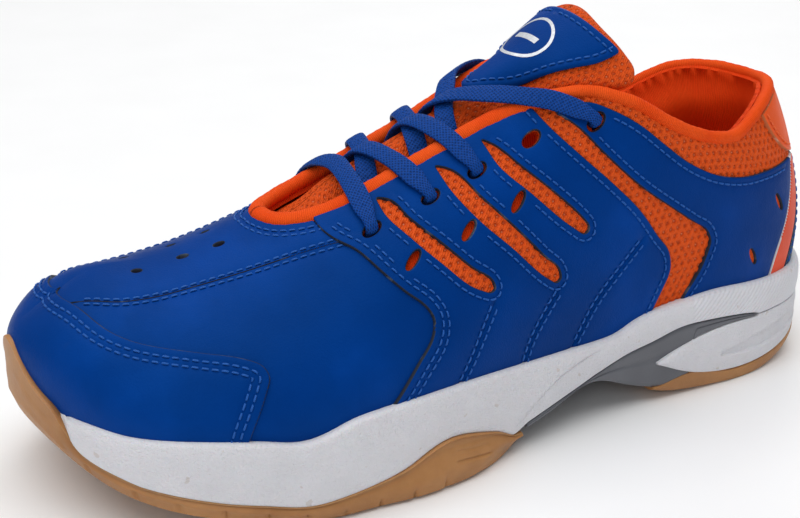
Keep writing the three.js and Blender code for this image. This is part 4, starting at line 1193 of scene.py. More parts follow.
def saddles():
    whole = [*SADDLE_FRONT, *SADDLE_REAR]
    throat = [*opening_edge(1.6)[1:13], [0.34, 1.1], [0.75, 1.1]]
    cuts = [*[eyelet_hole(e) for e in EYELETS[:4]], *[punch_hole(p) for p in PUNCHES]]
    front, rear = (smooth_line(SideChart, line, False) for line in (SADDLE_FRONT, SADDLE_REAR))
    seams = [smooth_line(SideChart, seam, False) for seam in FINGER_SEAMS]
    rows = [stepped(SideChart, front, whole, d) for d in (2.7, 4.6)]
    rows.append(stepped(SideChart, rear, whole, 2.4))
    rows = [above_sole(clipped_below_binding(row)) for row in rows]
    rows += [open_at_top(ring_round(slot_line, 2.3)) for slot_line in SLOTS]
    rows += [above_sole(beside(seam, d)) for seam in seams for d in (1.15, -1.15)]
    rows = apart(rows, cuts, 1.0)
    for side, label in SIDES:
        holes = [by_side(side, h) for h in [throat, *SLOTS, *cuts]]
        sewn = [by_side(side, r) for r in rows]
        creases = [by_side(side, seam) for seam in seams]
        sheet(SideChart, by_side(side, whole), holes, low=OVERLAY_LOW, high=OVERLAY_TOP, step=2.4, edge=0.6,
              rows=sewn, creases=creases).make(
            f"saddle_panel_{label}", PANEL, replaces=[f"saddle_{label}"], slot="synthetic_blue")
        stitched(f"saddle_stitching_{label}", sewn, OVERLAY_TOP)


def ring_round(outline, distance):
    """A closed line round an outline, distance mm outside it."""
    loop = smooth_line(SideChart, outline, True)
    ring = beside(loop, distance, True)
    middle = SideChart.to(ring)
    if inside(SideChart.to(loop), middle).mean() > 0.5:
        ring = beside(loop, -distance, True)
    return ring


def clipped_below_binding(row):
    return clipped(row, lambda r: r[:, 1] < 0.735)


def open_at_top(ring):
    """The ring round a slot, cut open where it meets the eyestay's edge, as one line."""
    i = int(np.argmax(ring[:, 1]))
    return clipped(np.roll(ring, -i, 0), lambda r: r[:, 1] < 0.715)


def heel_panels():
    rear = shifted(STRIPE_FRONT, 0.003, 0)[::-1]
    whole = [*HEEL_PANEL_FRONT, *COLLAR_LINE[:-1], *rear]
    stripe = [*STRIPE_FRONT, *STRIPE_REAR[::-1]]
    throat = [*opening_edge(1.6)[8:18], [0.229, 1], [0.463, 1]]
    eyelet = eyelet_hole(EYELETS[4])
    holes = [throat, eyelet, *[oval(q, v, 2.5, 0.9, 12, 1.0) for q, v in HEEL_SLOTS]]
    front, collar = (smooth_line(SideChart, line, False) for line in (HEEL_PANEL_FRONT, COLLAR_LINE[:-1]))
    rows = [above_sole(stepped(SideChart, front, whole, 2.3)), stepped(SideChart, collar, whole, 2.3)]
    rows = apart(rows, [eyelet], 1.1)
    for side, label in SIDES:
        sewn = [by_side(side, r) for r in rows]
        sheet(SideChart, by_side(side, whole), [by_side(side, h) for h in holes], low=OVERLAY_LOW,
              high=OVERLAY_TOP, step=2.4, edge=0.6, rows=sewn).make(
            f"heel_panel_skin_{label}", PANEL, replaces=[f"heel_panel_{label}"], slot="synthetic_blue")
        stitched(f"heel_panel_stitching_{label}", sewn, OVERLAY_TOP)
        sheet(SideChart, by_side(side, stripe), low=OVERLAY_LOW, high=OVERLAY_TOP - 0.1, step=2.0,
              edge=0.5).make(
            f"heel_stripe_skin_{label}", [LOOK["salmon"], LOOK["print"]], replaces=[f"heel_stripe_{label}"],
            slot="synthetic_salmon")


def inner_rows(line, distance):
    """Rows of stitching distance mm beside the line, nearer the middle of the heel, on both sides."""
    row = beside(line, distance)
    middle = len(line) // 2
    if row[middle, 0] > line[middle, 0]:
        row = beside(line, -distance)
    return [by_side(side, row) for side, _ in SIDES]


def heel_parts():
    rows = [above_sole(row) for row in inner_rows(smooth_line(SideChart, STRIPE_REAR, False), 2.2)]
    sheet(SideChart, both_sides(STRIPE_REAR), low=OVERLAY_LOW, high=OVERLAY_TOP, step=2.2, edge=0.6,
          rows=rows).make(
        "backstay_skin", [LOOK["blue_dark"], LOOK["edge"]], replaces=["backstay"], slot="synthetic_dark")
    stitched("backstay_stitching", rows, OVERLAY_TOP, slot="synthetic_dark")
    outline = [*HEEL_TAB, *mirrored(HEEL_TAB[1:])[::-1]]
    rows = inner_rows(smooth_line(SideChart, HEEL_TAB[1:5], False), 2.0)
    sheet(SideChart, outline, [heel_opening(1.2)], low=OVERLAY_LOW, high=OVERLAY_TOP, step=2.0, edge=0.6,
          rows=rows).make(
        "heel_tab_skin", [LOOK["tab"], LOOK["edge_orange"]], replaces=["heel_tab"], slot="knit_orange")
    stitched("heel_tab_stitching", rows, OVERLAY_TOP, "thread_orange", slot="knit_orange")


def opening_loop():
    """The binding's centre line right round the opening, as places."""
    half = [[q, min(v, 0.9999)] for q, v in OPENING]
    return np.array([*half, *mirrored(half[1:-1])[::-1]])


def closed_curve(points, spacing):
    """A smooth closed curve through 3-D points."""
    p = np.asarray(points, float)
    n = len(p)
    span = np.linalg.norm(np.roll(p, -1, 0) - p, axis=1)
    ways = (np.roll(p, -1, 0) - p) / span[:, None]
    back = np.roll(span, 1)
    tangent = (np.roll(ways, 1, 0) * span[:, None] + ways * back[:, None]) / (span + back)[:, None]
    result = []
    for i in range(n):
        k = (i + 1) % n
        count = max(2, math.ceil(span[i] / spacing))
        result.append(hermite(p[i], p[k], tangent[i], tangent[k], span[i], count))
    return np.vstack(result)


# half width and half thickness of the binding at the throat, and how much less they are at the collar
BINDING_WIDE, BINDING_THICK = (2.75, 0.75), (2.25, 0.25)


def binding():
    qv = opening_loop()
    points = place(qv[:, 0], qv[:, 1], 0.9)
    outs = normal(qv[:, 0], qv[:, 1])
    both = closed_curve(np.hstack([points, outs * 20, np.abs(qv[:, :1]) * 100]), 1.0)
    centre, out = both[:, :3], unit(both[:, 3:6])
    q = both[:, 6] / 100
    for _ in range(4):
        centre = eased(centre)
        out = unit(eased(out))
    along = unit(np.roll(centre, -1, 0) - np.roll(centre, 1, 0))
    wide = unit(np.cross(out, along))
    out = np.cross(along, wide)
    out *= np.sign((out * unit(both[:, 3:6])).sum(1, keepdims=True))
    sizes = (BINDING_WIDE, BINDING_THICK)
    half_width, half_thick = (size - less * ramp(q, 0.42, 0.34) for size, less in sizes)
    travelled = distance_along(centre)
    angles = np.arange(20) / 20 * 2 * np.pi
    wrinkle = 0.05 * np.sin(travelled * 2.3) + 0.06 * np.sin(travelled * 0.7 + 1)
    rings = (
        centre[:, None]
        + wide[:, None] * (np.cos(angles)[None, :, None] * (half_width + wrinkle)[:, None, None])
        + out[:, None] * (np.sin(angles)[None, :, None] * (half_thick + wrinkle)[:, None, None])
    )
    weave = np.zeros_like(rings)
    weave[..., 0] = travelled[:, None]
    weave[..., 1] = (angles * 2.4)[None, :]
    body = Body().grid(rings, closed=True, weave=weave)
    body.make("binding_roll", [LOOK["binding"]], replaces=["opening_binding"], slot="knit_orange", sharp=80)


def linings():
    qv = opening_loop()
    rim = tree(closed_curve(surface(qv[:, 0], qv[:, 1]), 0.4))

    def swell(Q, v):
        d = distances(rim, surface(Q, v))
        thin = 1 - 0.5 * np.exp(-((Q / 0.05) ** 2))
        return -0.7 - thin * (6.3 * ramp(d, 0, 9) + 2.6 * np.exp(-(((d - 13) / 8.5) ** 2)))

    outline = both_sides([[0.36, 0.02], [0.36, 0.9]])
    piece = sheet(SideChart, outline, [heel_opening(-0.6)], low=lambda Q, v: swell(Q, v) - 1.5, high=swell,
                  step=2.2, edge=0).make(
        "collar_lining", [LOOK["knit"], LOOK["knit"]], replaces=["quarter_lining", "collar_padding"],
        slot="knit_orange", sharp=80)


def vamp_lining():
    half = [[0.345, 0.9999], [0.345, 0.04], [0.5, 0.045], [0.7, 0.05], [0.9, 0.055], [0.9999, 0.055]]
    eyelets = [eyelet_hole(e) for e in EYELETS[:4]]
    holes = [throat_opening(0.2), *eyelets, *[mirrored(e) for e in eyelets]]
    sheet(ToeChart, both_sides(half), holes, low=-2.7, high=-0.4, step=3.2, edge=0).make(
        "vamp_lining_cloth", [LOOK["knit"], LOOK["knit"]], replaces=["vamp_lining"], slot="knit_orange",
        sharp=80)


# ---- the tongue ----
def tongue_dip(Q, v):
    """The tongue's edges dip under the eyestays and its front dips under the vamp."""
    q = np.abs(Q)
    side = ramp(1 - v, 0.03, 0.19)
    deep = 5.2 - 2.3 * ramp(q, 0.61, 0.66)
    return -deep * side * ramp(q, 0.36, 0.42) - 2.8 * ramp(q, 0.62, 0.68) * (1 - side)


def tongue_top_face(Q, v):
    return -0.55 + tongue_dip(Q, v)


def tongue_bottom_face(Q, v):
    return tongue_top_face(Q, v) - 3.1 - 2.7 * ramp(np.abs(Q), 0.47, 0.41)


TONGUE = [
    [0.29, 0.9999], [0.292, 0.82], [0.284, 0.69], [0.281, 0.63], [0.288, 0.597], [0.305, 0.6],
    [0.33, 0.642], [0.36, 0.702], [0.395, 0.751], [0.414, 0.752], [0.435, 0.713], [0.465, 0.66],
    [0.5, 0.64], [0.6, 0.655], [0.68, 0.7], [0.745, 0.8], [0.75, 0.9999],
]
LABEL = [
    [0.309, 0.9999], [0.303, 0.82], [0.292, 0.7], [0.32, 0.711], [0.347, 0.749], [0.373, 0.791],
    [0.4, 0.844], [0.425, 0.903], [0.44, 0.952], [0.444, 0.9999],
]


def coarse_cells(Q, v, d):
    return 0.5 * dimples(Q, v) * ramp(d, 0.8, 2.0) * (v > 0.6)


def tongue():
    outline = both_sides(TONGUE)
    split = surface(0.446, 1.0)
    piece = sheet(RidgeChart, outline, low=tongue_bottom_face, high=tongue_top_face, step=0.75, pillow=2.6,
                  relief=coarse_cells).make(
        "tongue_pad", [LOOK["mesh"], LOOK["mesh"]], None, replaces=["tongue_body", "tongue_top"],
        slot="mesh_orange", sharp=80)
    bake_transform(piece)


def label():
    outline = both_sides(LABEL)
    edge = smooth_line(RidgeChart, outline, True)

    def under(Q, v):
        return tongue_dip(Q, v) - 0.5

    def over(Q, v):
        return tongue_dip(Q, v) + 1.25 + 0.8 * ramp(np.abs(Q), 0.36, 0.42)

    row = beside(edge, -2.4, True)
    shape = RidgeChart.to(np.array(outline))
    if not inside(shape, RidgeChart.to(row[:1]))[0]:
        row = beside(edge, 2.4, True)
    sheet(RidgeChart, outline, low=under, high=over, step=1.8, pillow=1.3, rows=[row]).make(
        "tongue_label_pad", [LOOK["blue"], LOOK["edge"]], "tongue_flap", replaces=["tongue_label"],
        slot="synthetic_blue")
    stitched("tongue_label_stitching", [row], 0, ride="tongue_flap", lift=lambda Q, v: over(Q, v) - 0.05)
    body = Body()
    outer, inner = (np.array(oval(0.36, 1.0, *size, 36)) for size in ((8.0, 11.5), (7.0, 10.3)))
    print_ring(body, outer, inner, over)
    bar = [[0.3635, 0.93], [0.3635, 1.07], [0.3565, 1.07], [0.3565, 0.93]]
    print_patch(body, np.array(bar), over)
    body.make("label_print", [LOOK["print"]], "tongue_flap", slot="synthetic_blue")


def print_points(qv, height, over):
    Q, v = folded(qv[:, 0], qv[:, 1])
    return place(Q, v, over(Q, v) + height)


def print_ring(body, outer, inner, over):
    """A thin raised ring between two outlines."""
    rings = [print_points(outer, -0.1, over), print_points(outer, 0.09, over),
             print_points(inner, 0.09, over), print_points(inner, -0.1, over)]
    body.grid(np.array(rings).transpose(1, 0, 2), closed=True)


def print_patch(body, corners, over, count=14):
    """A thin raised bar between four corners, in short slices so that it follows the label."""
    slices = []
    for i in range(count + 1):
        t = i / count
        a = corners[0] * (1 - t) + corners[1] * t
        b = corners[3] * (1 - t) + corners[2] * t
        pair = np.array([a, b])
        low, high = print_points(pair, -0.1, over), print_points(pair, 0.09, over)
        slices.append([low[0], high[0], high[1], low[1]])
    body.grid(np.array(slices), caps=True)


# ---- the lace ----
# half width and half thickness of the lace, and length of one turn of its braid
LACE_WIDE = 3.05
LACE_THICK = 0.82
BRAID_PITCH = 2.3


def crossing(side, start, end, over, bow=0.0):
    """From the inside of one eyelet, over the tongue, to the outside of an eyelet on the other side."""
    q0, v0 = EYELETS[start]
    q1, v1 = EYELETS[end]
    t0, t1 = 1 - v0, 1 - v1

    def q(t):
        return q0 + (q1 - q0) * (t + t0) / (t0 + t1) + bow * max(0, 1 - (t / t0) ** 2)

    under = [[t0 - 0.015, -4.4], [0.27, -4.3], [0.2, -3.9], [0.13, -1.3], [0.07, 1.0 if over else 0.3]]
    above = [[0.07, 3.4 if over else 2.2], [0.14, 3.8], [0.2, 4.15], [0.25, 4.15], [0.31, 3.75]]
    above.append([t1 - 0.02, 3.55])
    stops = [[side * q(-t), 1 - t, w] for t, w in under]
    stops.append([-side * q(0), 0.9999, 2.75 if over else 0.85])
    stops += [[-side * q(t), 1 - t, w] for t, w in above]
    return [*stops, *through(-side, end)]


def through(side, index):
    """Down an eyelet, from the outside to the inside."""
    q, v = EYELETS[index]
    return [[side * q, v, 3.1], [side * q, v, 0.6], [side * q, v, -2.9]]


def lace_stops():
    q, v = EYELETS[0]
    t = 1 - v
    ways = [[t - 0.02, 3.55], [0.3, 3.8], [0.24, 4.15], [0.2, 4.1], [0.12, 3.6]]
    bar = [[q, 1 - x, w] for x, w in ways] + [[q, 0.9999, 2.9]] + [[-q, 1 - x, w] for x, w in ways[::-1]]
    ends = [[0.352, 0.545, -4.1], [0.356, 0.48, -4.3], [0.362, 0.4, -4.3]]
    to_lateral = [*through(-1, 0), *crossing(-1, 0, 1, True), *crossing(1, 1, 2, False),
                  *crossing(-1, 2, 4, True, 0.046), *ends]
    to_medial = [*through(1, 0), *crossing(1, 0, 1, False), *crossing(-1, 1, 2, True),
                 *crossing(1, 2, 4, False, 0.046), *[[-a, b, c] for a, b, c in ends]]
    return [*to_medial[::-1], *bar, *to_lateral]


def centripetal(points, spacing):
    """A smooth open curve through 3-D points, with values carried along; even steps."""
    p = np.asarray(points, float)
    p = np.vstack([2 * p[0] - p[1], p, 2 * p[-1] - p[-2]])
    knots = np.concatenate([[0], np.cumsum(np.sqrt(np.maximum(lengths(p[:, :3]), 1e-4)))])
    line = []
    for i in range(1, len(p) - 2):
        t0, t1, t2, t3 = knots[i - 1 : i + 3]
        t = np.linspace(t1, t2, 24, endpoint=False)[:, None]
        a1 = ((t1 - t) * p[i - 1] + (t - t0) * p[i]) / (t1 - t0)
        a2 = ((t2 - t) * p[i] + (t - t1) * p[i + 1]) / (t2 - t1)
        a3 = ((t3 - t) * p[i + 1] + (t - t2) * p[i + 2]) / (t3 - t2)
        b1 = ((t2 - t) * a1 + (t - t0) * a2) / (t2 - t0)
        b2 = ((t3 - t) * a2 + (t - t1) * a3) / (t3 - t1)
        line.append(((t2 - t) * b1 + (t - t1) * b2) / (t2 - t1))
    line = np.vstack([*line, p[-2:-1]])
    travelled = distance_along(line[:, :3])
    at = np.arange(0, travelled[-1], spacing)
    return at, np.stack([np.interp(at, travelled, line[:, k]) for k in range(line.shape[1])], 1)


def lace():
    stops = np.array(lace_stops())
    q = np.abs(stops[:, 0])
    ridge = unit(surface(q + 0.01, 0.9999) - surface(q - 0.01, 0.9999))
    centre = place(stops[:, 0], stops[:, 1], stops[:, 2])
    eyelets = np.array([[s * a, b] for a, b in EYELETS for s in (1, -1)])
    travelled, line = centripetal(np.hstack([centre, ridge * 5]), 0.45)
    p = line[:, :3]
    for _ in range(3):
        p[1:-1] = (p[:-2] + 2 * p[1:-1] + p[2:]) / 4
    run = unit(np.gradient(p, axis=0))
    wide = line[:, 3:] - run * (line[:, 3:] * run).sum(1, keepdims=True)
    wide = unit(wide)
    up = np.cross(run, wide)
    near_hole = distances(tree(place(eyelets[:, 0], eyelets[:, 1], 1.2)), p)
    bunch = 1 - ramp(near_hole, 2.2, 8)
    half_wide = LACE_WIDE * (1 - 0.36 * bunch) * (1 + 0.03 * np.sin(travelled * 0.31))
    half_thick = LACE_THICK * (1 + 0.5 * bunch)
    angle = np.arange(28) / 28 * 2 * np.pi
    c, s = np.cos(angle), np.sin(angle)
    x = np.sign(c) * np.abs(c) ** 0.75
    y = np.sign(s) * np.abs(s) ** 0.75
    phase = travelled[:, None] * 2 * np.pi / BRAID_PITCH
    strands = np.maximum(np.sin(phase + 4 * angle), np.sin(phase - 4 * angle + 0.6))
    relief = 0.19 * strands - 0.08
    rings = (
        p[:, None]
        + wide[:, None] * (x[None, :] * half_wide[:, None])[..., None]
        + up[:, None] * (y[None, :] * (half_thick[:, None] + relief))[..., None]
    )
    weave = np.zeros_like(rings)
    weave[..., 0] = travelled[:, None]
    weave[..., 1] = (x * LACE_WIDE)[None, :] + (s < 0) * 9
    body = Body().grid(rings, caps=True, weave=weave)
    body.make("lace_braid", [LOOK["lace"]], replaces=["lace"], slot="lace_blue", sharp=80)


# ---- the sole ----
# |q|, height of the midsole's lip
LIP = curve([
    [0, 33.5], [0.184, 33.9], [0.231, 34.5], [0.27, 33.6], [0.316, 32], [0.336, 30.5], [0.356, 28.1],
    [0.38, 27.3], [0.42, 27.6], [0.463, 28.2], [0.504, 29], [0.542, 29.7], [0.595, 30.2], [0.645, 30],
    [0.67, 29.2], [0.692, 27.3], [0.72, 26.1], [0.75, 27.7], [0.79, 29.3], [0.84, 30], [0.878, 30.5],
    [0.906, 31.6], [0.935, 32.1], [1, 32.5],
])
# |q|, height at which the forefoot rubber ends
GUM_FRONT = [
    [0.656, 8.1], [0.69, 7], [0.715, 6.9], [0.751, 9.2], [0.785, 11.2], [0.816, 13.3], [0.847, 15.3],
    [0.863, 16.4], [0.88, 18], [0.897, 19.6], [0.914, 21.6], [0.924, 23.6], [0.932, 26.6], [0.94, 30.4],
    [0.947, 33.4], [0.956, 35.4], [0.966, 37.6], [0.976, 40.9], [0.986, 44.9], [0.993, 47.4], [1, 48.2],
]
GUM_OUTER = curve([
    [0.48, 6.6], [0.496, 7], [0.51, 9.5], [0.524, 11.3], [0.548, 13.6], [0.565, 14.6], [0.58, 14.4],
    [0.597, 12.8], [0.614, 10.6], [0.635, 9], *GUM_FRONT,
])
GUM_INNER = curve([
    [0.48, 6.4], [0.5, 7.4], [0.52, 8.5], [0.56, 10], [0.6, 10], [0.635, 8.9], *GUM_FRONT,
])
# |q|, lowest height of the forefoot rubber's wall
GUM_LOW = curve([
    [0.48, 5], [0.496, 4.4], [0.521, 3.6], [0.545, 0.7], [0.57, 0], [0.655, 0.5], [0.675, 0.9],
    [0.695, 2], [0.714, 3.2], [0.733, 4.2], [0.751, 5.6], [0.785, 8], [0.816, 9.8], [0.848, 12.3],
    [0.865, 13.4], [0.882, 14.7], [0.899, 16.8], [0.917, 18.9], [0.936, 21.4], [0.956, 24.5],
    [0.978, 27.3], [1, 28],
])
# distance from the heel, height
WING_TOP = curve([
    [36, 21.9], [41, 22.9], [50, 24], [61, 24.6], [71, 24.3], [81, 22], [91, 20.3], [108, 15.3],
    [120, 11.9], [130, 9.4], [139, 7.4],
])
WING_LOW = curve([[36, 21.1], [50, 21.4], [60, 20.2], [70, 17.8], [80, 14.6], [90, 13]])
POD_LOW = curve([
    [0, 14], [9, 10], [21, 6.5], [36, 4.4], [50, 4.6], [64.6, 7.4], [73.2, 10.9], [80, 14], [90, 17],
])
HEEL_GUM_TOP = curve([
    [0, 14], [9, 10], [21, 6.5], [36, 4.4], [50, 4.6], [64.6, 7.4], [72, 6.6], [80, 5.6], [90, 9],
])
HEEL_GROUND = curve([
    [-8, 15], [0, 10], [8, 6.5], [18, 3.2], [30, 0], [58, 0.1], [72, 1.7], [80, 3.9], [90, 8.4],
])
GREY_LOW = curve([
    [60, 8], [64.5, 6.7], [71.4, 4], [79.8, 5.3], [90.5, 8.8], [97, 11.6], [107.6, 14.3], [118, 11.4],
    [128, 8.4], [139, 6.6],
])
FORE_GROUND = curve([
    [128, 8.2], [135, 4.6], [142, 1.2], [150, 0], [196, 0], [208, 1], [220, 3], [235, 6], [250, 9.6],
    [262, 14], [270, 19], [280, 27],
])
SEAM_LINE = curve([[102, 25.5], [112, 23.2], [120.5, 20.5], [138, 9.3]])
GROOVE_HIGH = curve([[10, 18.6], [24, 16.9], [44, 13.6], [53, 12.1]])
GROOVE_LOW = curve([[10, 12.4], [24, 10.6], [41.6, 9.8], [53, 10.9]])


def columns(low_s, high_s, spacing):
    """Values of q about spacing mm apart on the feather line, from low_s to high_s mm from the heel."""
    fine = np.linspace(0.0008, 0.9992, 6000)
    f = feather(fine)
    keep = (f[:, 0] >= low_s) & (f[:, 0] <= high_s)
    fine, f = fine[keep], f[keep]
    travelled = distance_along(f)
    count = max(4, round(travelled[-1] / spacing))
    return np.interp(np.linspace(0, travelled[-1], count + 1), travelled, fine)


def wall_point(Q, offset, height):
    """A point offset mm out from the feather line; height is a function of (distance from the heel, q)."""
    f, n = feather(Q), feather_normal(Q)
    s, x = f[:, 0] + n[:, 0] * offset, f[:, 1] + n[:, 1] * offset
    z = height(s, Q)
    return world(np.stack([s, x, z], 1)), np.stack([s, z, np.zeros_like(z)], 1)


def cap(ring, start, across, relief):
    """Closes a ring whose two halves face each other, with rows of points across it."""
    n = len(ring)
    half = n // 2
    points, rows = [], []
    share = (np.arange(across) + 1) / (across + 1)
    for j in range(1, half - 1):
        a, b = ring[j], ring[n - 1 - j]
        p = a + (b - a) * share[:, None]
        if relief is not None:
            p[:, 2] += relief(p, share)
        rows.append([start + j, *(("new", len(points) + k) for k in range(across)), start + n - 1 - j])
        points += list(p)
    return points, rows


def between(low, high):
    """Heights a share t of the way from low to high and a bit over; both are functions of (s, Q)."""
    def height(t, over=0.0):
        def at(s, Q):
            bottom = low(s, Q)
            return bottom + (high(s, Q) - bottom) * t + over
        return at

    return height


def loft(Q, levels, across=1, under=None, over=None, slot_of=None):
    """A closed solid from levels of (offset, height function), bottom first, round the columns Q.
    across is the number of points across its two caps, and under and over are the caps' reliefs.
    """
    rings, places = zip(*[wall_point(Q, o, h) for o, h in levels])
    rings, places = np.array(rings), np.array(places)
    count, n = rings.shape[:2]
    j = np.arange(n)
    k = (j + 1) % n
    faces = []
    for i in range(count - 1):
        faces += np.stack([i * n + j, i * n + k, (i + 1) * n + k, (i + 1) * n + j], 1).tolist()
    slots = [0] * len(faces)
    if slot_of is not None:
        centre = places[:-1].reshape(-1, 3)
        slots = slot_of(centre[:, 0], centre[:, 1]).tolist()
    points, weave = [rings.reshape(-1, 3)], [places.reshape(-1, 3)]
    total = count * n
    for ring, start, relief, flip in ((rings[0], 0, under, False), (rings[-1], (count - 1) * n, over, True)):
        extra, rows = cap(ring, start, across, relief)
        rows = [[r if isinstance(r, int) else total + r[1] for r in row] for row in rows]
        total += len(extra)
        points.append(np.array(extra))
        weave.append(np.array([[HEEL_Y - e[1], e[0], 0] for e in extra]))
        new = [[rows[0][0], start, start + n - 1, *rows[0][:0:-1]]]
        for a, b in zip(rows, rows[1:]):
            new += [[b[i], a[i], a[i + 1], b[i + 1]] for i in range(len(a) - 1)]
        new.append([start + n // 2 - 1, *rows[-1], start + n // 2])
        faces += [f[::-1] for f in new] if flip else new
        slots += [0] * len(new)
    return Body().add(np.vstack(points), faces, slots, np.vstack(weave))


def both(q):
    """Columns round the heel, from the inner side's front to the outer side's."""
    return np.concatenate([-q[::-1], q])


def round_toe(q):
    """Columns round the toe, from the outer side's back to the inner side's."""
    return np.concatenate([q, -q[::-1]])


def midsole_low(s, Q):
    q = np.abs(Q)
    rear = np.where(s < 36, 21.62, WING_TOP(s) + 0.15)
    fore = np.minimum(gum_top(Q), LIP(q) - 5) - 0.4
    return rear + (fore - rear) * ramp(s, 132, 141)


def midsole():
    Q = both(columns(-9, 300, 0.9))
    s_at = feather(Q)[:, 0]
    narrow = 1.7 * ramp(np.abs(Q), 0.928, 0.94)
    height = between(midsole_low, lambda s, Q: LIP(np.abs(Q)))
    levels = [(2.0, height(0)), (4.2 - narrow, height(0)), (4.75 - narrow, height(0, 0.12)),
              (5.05 - narrow, height(0, 0.45))]
    for t in np.linspace(0.05, 0.9, 46):
        out = 5.25 + 0.5 * math.sin(math.pi * t) - 0.25 * float(ramp(t, 0.75, 0.95))
        out = np.full(len(Q), out)
        z = height(t)(s_at, Q)
        seam = SEAM_LINE(s_at)
        line = (s_at > 101) & (s_at < 139) & (Q > 0)
        out -= np.where(line, 0.32 * np.exp(-(((z - seam) / 0.38) ** 2)), 0) * ramp(s_at, 100, 106)
        lower = (Q > 0) & (s_at > 101) & (z < seam)
        out -= np.where(lower, 0.35 * ramp(s_at, 101, 112) * ramp(s_at, 140, 134), 0)
        levels.append((out - narrow, height(t)))
    lip = [(5.0, 0.94, 0), (4.85, 1, -0.75), (4.5, 1, -0.35), (4.0, 1, -0.1), (3.4, 1, 0), (2.6, 1, -0.12),
           (0.6, 1, -0.5)]
    levels += [(np.maximum(o - narrow, 0.6), height(t, d)) for o, t, d in lip]
    levels.append((0.2, lambda s, Q: feather(Q)[:, 2] - 0.2))

    def heel_part(s, z):
        return ((s < 66) & (z > 22)).astype(int)

    loft(Q, levels, 3, slot_of=heel_part).make(
        "midsole_foam", [LOOK["foam"], LOOK["foam_heel"]], replaces=["midsole"], slot="foam_white", sharp=40)


def outrigger(Q):
    """How far the rubber reaches out beside the ball of the foot."""
    return 3.2 * ramp(Q, 0.485, 0.55) * (1 - ramp(Q, 0.585, 0.665))


# the tread: depth of its grooves, distance between two, and half length and height of a zigzag
TREAD_DEEP, TREAD_PITCH = 1.5, 6.4
ZIGZAG_HALF, ZIGZAG_HIGH = 7, 6


def herringbone(p, share):
    """Zigzag grooves across the tread, fading out at its edge."""
    zigzag = np.abs((p[:, 0] / ZIGZAG_HALF) % 2 - 1) * ZIGZAG_HIGH
    phase = (p[:, 1] + zigzag) / TREAD_PITCH * 2 * np.pi
    edge = ramp(np.minimum(share, 1 - share), 0.03, 0.09)
    return TREAD_DEEP * edge * ramp(np.cos(phase), -0.15, 0.35)


def toe_wrap(Q, z):
    """How far out the rubber stands where it turns up over the toe cap."""
    rise = np.maximum(0, z - feather(Q)[:, 2])
    return (5.7 + 0.03 * np.maximum(0, rise - 7)) * ramp(np.abs(Q), 0.91, 0.942)


def gum_top(Q):
    return np.where(Q > 0, GUM_OUTER(np.abs(Q)), GUM_INNER(np.abs(Q)))


# height at 157 mm from the heel and depth of each line carved in the outrigger's wall
CARVED = ((6.9, 0.55), (9.6, 0.3))
NOTCH_PITCH = 10.5


def forefoot_rubber():
    Q = round_toe(columns(136, 300, 0.8))
    q = np.abs(Q)
    s_at = feather(Q)[:, 0]
    bulge = outrigger(Q)
    height = between(lambda s, Q: GUM_LOW(np.abs(Q)) + 0.3, lambda s, Q: gum_top(Q))

    def ground(rise):
        return lambda s, Q: np.maximum(np.minimum(FORE_GROUND(s), GUM_LOW(np.abs(Q))), 0) + rise

    levels = [(1.6 + 0.4 * bulge, ground(0)), (3.2 + 0.7 * bulge, ground(0.1)),
              (4.1 + 0.85 * bulge, ground(0.45))]
    for t in np.linspace(0.06, 0.92, 40):
        z = height(t)(s_at, Q)
        side = bulge * (0.9 + 0.1 * math.sin(math.pi * t)) * (1 - 0.75 * ramp(t, 0.25, 1.0))
        out = 4.9 + 0.65 * math.sin(math.pi * min(1, t * 1.25)) ** 0.7 + side + 0.25 * ramp(q, 0.93, 0.96)
        carve = (Q > 0) & (s_at > 151.5) & (s_at < 164)
        for line_z, depth in CARVED:
            away = z - line_z - (s_at - 157) * 0.12
            out = out - np.where(carve, depth * np.exp(-((away / 0.34) ** 2)), 0)
        notch = ramp(np.cos(s_at / NOTCH_PITCH * 2 * np.pi), 0.93, 0.99) * ramp(t, 0.5, 0.05) * (s_at > 165)
        levels.append((np.maximum(out - notch, toe_wrap(Q, z)), height(t)))
    end = np.maximum(5.25 + 0.3 * bulge, toe_wrap(Q, gum_top(Q)))
    levels += [(end + 0.1, height(1, -0.35)), (end - 0.2, height(1, -0.08)), (end - 0.8, height(1)),
               (end - 2.2, height(1, -0.25))]
    levels.append((1.0, lambda s, Q: np.minimum(gum_top(Q) - 0.4, feather(Q)[:, 2] + 0.5)))
    loft(Q, levels, 40, under=herringbone).make(
        "outsole_rubber_forefoot", [LOOK["gum"]], replaces=["outsole_forefoot"], slot="gum_rubber", sharp=40)


def heel_rubber():
    Q = both(columns(-9, 80.5, 0.8))
    height = between(lambda s, Q: HEEL_GROUND(s) + 0.9, lambda s, Q: HEEL_GUM_TOP(s))

    def ground(rise):
        return lambda s, Q: np.maximum(HEEL_GROUND(s), 0) + rise

    levels = [(1.2, ground(0)), (3.0, ground(0.08)), (4.0, ground(0.35)), (4.6, ground(0.8))]
    for t in np.linspace(0.05, 0.9, 12):
        levels.append((4.9 + 0.55 * math.sin(math.pi * t * 0.8), height(t)))
    levels += [(5.3, height(1, -0.25)), (5.0, height(1, -0.04)), (4.4, height(1)), (2.4, height(1, -0.1))]
    loft(Q, levels, 40, under=herringbone).make(
        "outsole_rubber_heel", [LOOK["gum"]], replaces=["outsole_heel"], slot="gum_rubber", sharp=40)


# depth of the pod's recess and of the fine line across it
RECESS_DEEP, RECESS_LINE = 0.95, 0.25


